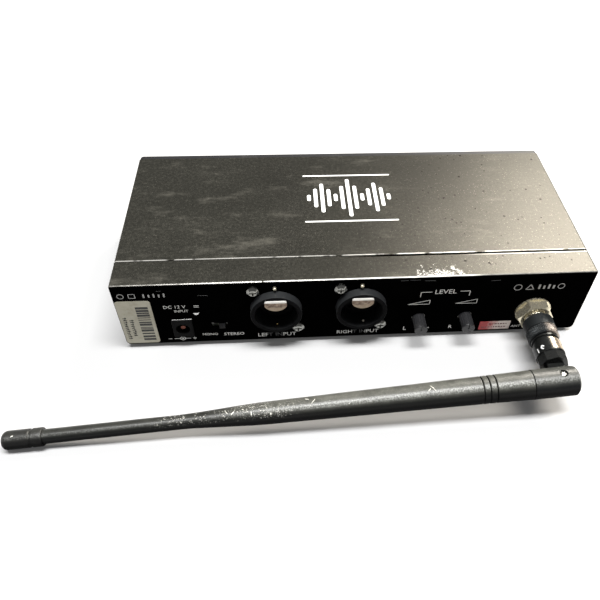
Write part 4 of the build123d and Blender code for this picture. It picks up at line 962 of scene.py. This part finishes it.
flake_ink = ink("white_flake", (0.92, 0.92, 0.90), 0.1)
flake_and_highlight = Layer(0.05)
flake_and_highlight.outline([(-72.6, 22.1), (-72.1, 21.2), (-71.3, 20.9), (-70.5, 21.3), (-70.0, 22.4), (-71.2, 22.1)])
flake_and_highlight.stroke((-82.4, 18.0), (-73.7, 18.25), 0.42)                           # a painted highlight along the inlet's upper edge
flake_and_highlight.make("paint_flake", "rear", flake_ink)
scratches = Layer(0.004)
for x, z in ((17.5, 38.2), (21.5, 38.5), (28.0, 37.9), (57.5, 36.6), (-86.0, 36.6), (-69.4, 33.2)):
    scratches.stroke((x, z), (x + dice.uniform(1.5, 5.0), z + dice.uniform(-0.15, 0.25)), 0.14)
scratches.make("face_scratches", "rear", ink("scratch_grey", (0.10, 0.10, 0.10), 0.9))
print("labels stuck on")

# %% [markdown]
# The lid carries a mark. Here it is a sound wave drawn as thirteen level bars between two rules,
# printed in white. The plug's barrel has two dabs of white paint, as a stage crew marks its own.

# %% Lid mark and paint dabs
MARK_X, MARK_LOW, MARK_HIGH = 22.0, -8.5, 27.0
mark = Layer(0.01)
wave_mid = (MARK_LOW + MARK_HIGH) / 2
for step in range(13):
    offset = (step - 6) / 6
    tall = 3.0 + 26.0 * (0.55 + 0.45 * cos(9.0 * offset)) * (1 - 0.55 * offset ** 2)
    x = offset * (MARK_X - 2.5)
    mark.outline(rounded_box((x - 0.9, wave_mid - tall / 2), (x + 0.9, wave_mid + tall / 2), 0.85))
for y in (MARK_LOW, MARK_HIGH):
    mark.outline(rounded_box((-MARK_X, y - 0.45), (MARK_X, y + 0.45), 0.4))
mark.make("lid_mark", "top", ink("mark_white", (0.88, 0.88, 0.86), 0.06))

BARREL_R = 6.3
dabs = Layer(0.04, lift=0.01)
dabs.path([(-4.0, -25.0), (-4.9, -24.3), (-5.4, -25.2), (-4.5, -26.2)], 0.5)
dabs.path([(-7.4, -24.6), (-7.2, -26.8)], 0.45)
dabs.make("paint_dabs", BARREL_R, flake_ink, "antenna_base")
print("lid mark of", 15, "shapes")

# %% [markdown]
# Two small turned things finish the inputs: above each barrel the rounded end of the lock's pin
# stands out of the panel, and inside the mouth sits a gold contact tip. The right tip is given a pale,
# barely metallic colour: a painted highlight.

# %% Lock pins and contact tips
TIP_SHIFT = {"left": 0.1, "right": 1.5}
for side in ("left", "right"):
    centre = middle(f"{side}_input_insert")
    pin = [(0, -0.1), (0.8, -0.1), (0.8, 0.7)] + arc((0.25, 0.7), 0.55, 0, 85, 6) + [(0, 1.26)]
    at = np.array([centre[0] - 0.2 * MM, panel_y, centre[2] + 13.3 * MM])
    points, faces = turned(pin, at, OUT, UP, 28)
    piece(f"{side}_lock_pin", points, faces, nickel, "case")
    tip_ball = [(0, -0.55)] + arc((0, 0), 0.55, -75, 75, 11) + [(0, 0.55)]
    at = np.array([centre[0] + TIP_SHIFT[side] * MM, panel_y - 0.8 * MM, centre[2] - 9.05 * MM])
    points, faces = turned(tip_ball, at, OUT, UP, 24)
    # The right tip takes the painted highlight finish.
    piece(f"{side}_contact_tip", points, faces, painted_glint if side == "right" else gold, "case")
print("four small pieces turned")

# %% [markdown]
# The front face is printed too. The window shows what such a display does at rest: a channel
# number in segments and a row of level blocks, their light painted in as a pale colour. Arrows mark
# the two stepping buttons.

# %% Front legends
display = -middle("display_window")[0] / MM, middle("display_window")[2] / MM
SEGMENTS = {"2": "abged", "7": "abc", "4": "fgbc"}
front_print = Layer(lift=0.002)
for node, words, width in (("power_button", "POWER", 8.5), ("volume_knob", "VOLUME", 10.5),
                           ("phones_jack", "PHONES", 10.5), ("set_button", "SET", 5.0)):
    x, _, z = middle(node) / MM
    front_print.text(words, (-x, z + (11.5 if node in ("volume_knob", "phones_jack") else 8.0)), width)
for node, tip in (("down_button", -1), ("up_button", 1)):
    x, _, z = middle(node) / MM
    base_z, point_z = z + 7.6 - 1.1 * tip, z + 7.6 + 1.3 * tip
    front_print.outline([(-x - 1.5 * tip, base_z), (-x + 1.5 * tip, base_z), (-x, point_z)])
for step in range(11):                                                      # dial ticks round the volume knob
    angle = radians(225 - 27 * step)
    x, _, z = middle("volume_knob") / MM
    ray = np.array([cos(angle), sin(angle)])
    front_print.stroke(np.array([-x, z]) + ray * 8.4, np.array([-x, z]) + ray * 9.6, STROKE)
front_print.make("front_legends", "front", white_ink)
lit = Layer(lift=0.002)
for place, digit in enumerate("274"):
    left, low = display[0] - 17.0 + 7.5 * place, display[1] - 4.0
    spots = {"a": ((0, 9), (5, 9)), "b": ((5, 9), (5, 4.5)), "c": ((5, 4.5), (5, 0)), "d": ((0, 0), (5, 0)),
             "e": ((0, 0), (0, 4.5)), "f": ((0, 4.5), (0, 9)), "g": ((0, 4.5), (5, 4.5))}
    for letter in SEGMENTS[digit]:
        start, end = [np.array(point) + (left, low) for point in spots[letter]]
        gap = unit(end - start) * 0.5
        lit.stroke(start + gap, end - gap, 0.8)
for step in range(9):
    lit.stroke((display[0] + 8.5 + 1.4 * step, display[1] - 4.0),
               (display[0] + 8.5 + 1.4 * step, display[1] - 2.6 + 0.6 * step), 0.8)
# The segments' light is painted in as a pale base colour, without emission.
painted_glow = Finish("display_segments")
soft = painted_glow.noise(800)
painted_glow.surface(Base_Color=painted_glow.mix(soft, (0.30, 0.42, 0.40), (0.38, 0.50, 0.47)), Roughness=0.4)
lit.make("display_segments", "front", painted_glow.material)
print("front printed")

# %% [markdown]
# The unit stands on a plain white floor. A long soft lamp hangs overhead and draws the streak along
# the whip. A smaller warm one stands past the front panel, off the right end, and its reflection
# is the sheen that spreads over that end of the cover. Surfaces see a dimmer sky than the camera does, and
# the floor glows more the further off it is.

# %% Floor and lights
floor_data = bpy.data.meshes.new("floor")
floor_data.from_pydata([(-6, -6, 0), (6, -6, 0), (6, 6, 0), (-6, 6, 0)], [], [(0, 1, 2, 3)])
floor = bpy.data.objects.new("floor", floor_data)
bpy.context.scene.collection.objects.link(floor)
floor_finish = Finish("floor")
floor_tone = floor_finish.mix(floor_finish.noise(3), (0.50, 0.50, 0.50), (0.52, 0.52, 0.52))
x, y, z = floor_finish.axes()
far_off = (x * x + y * y).rise(0.6, 3.0)                                    # squared distance, in metres
floor_glow = floor_finish.mix(far_off, (0.05, 0.05, 0.05), (0.80, 0.80, 0.80))
floor_data.materials.append(floor_finish.surface(
    Base_Color=floor_tone, Roughness=0.85, Specular_IOR_Level=0.0,
    Emission_Color=floor_glow, Emission_Strength=1.0))


def lamp(name, at, aim, size, power, shade=(1, 1, 1)):
    """A rectangular area lamp at one point, aimed at another."""
    data = bpy.data.lights.new(name, "AREA")
    data.shape, data.size, data.size_y, data.energy, data.color = "RECTANGLE", *size, power, shade
    obj = bpy.data.objects.new(name, data)
    bpy.context.scene.collection.objects.link(obj)
    obj.location = at
    obj.rotation_euler = (Vector(aim) - Vector(at)).to_track_quat("-Z", "Y").to_euler()


lamp("overhead", (0.0, -0.12, 1.15), (0, -0.10, 0), (0.9, 0.24), 25)
lamp("sheen", (0.54, 0.53, 0.68), (0.09, -0.02, 0.04), (0.44, 0.32), 14.5, (1.0, 0.94, 0.85))
world = bpy.data.worlds.new("studio")
world.use_nodes = True
sky = world.node_tree
background = sky.nodes["Background"]
background.inputs["Color"].default_value = (1, 1, 1, 1)
seen = sky.nodes.new("ShaderNodeLightPath")
strength = sky.nodes.new("ShaderNodeMapRange")
strength.inputs["To Min"].default_value, strength.inputs["To Max"].default_value = 0.18, 1.0
sky.links.new(seen.outputs["Is Camera Ray"], strength.inputs["Value"])
sky.links.new(strength.outputs[0], background.inputs["Strength"])
bpy.context.scene.world = world
print("floor and lamps placed")
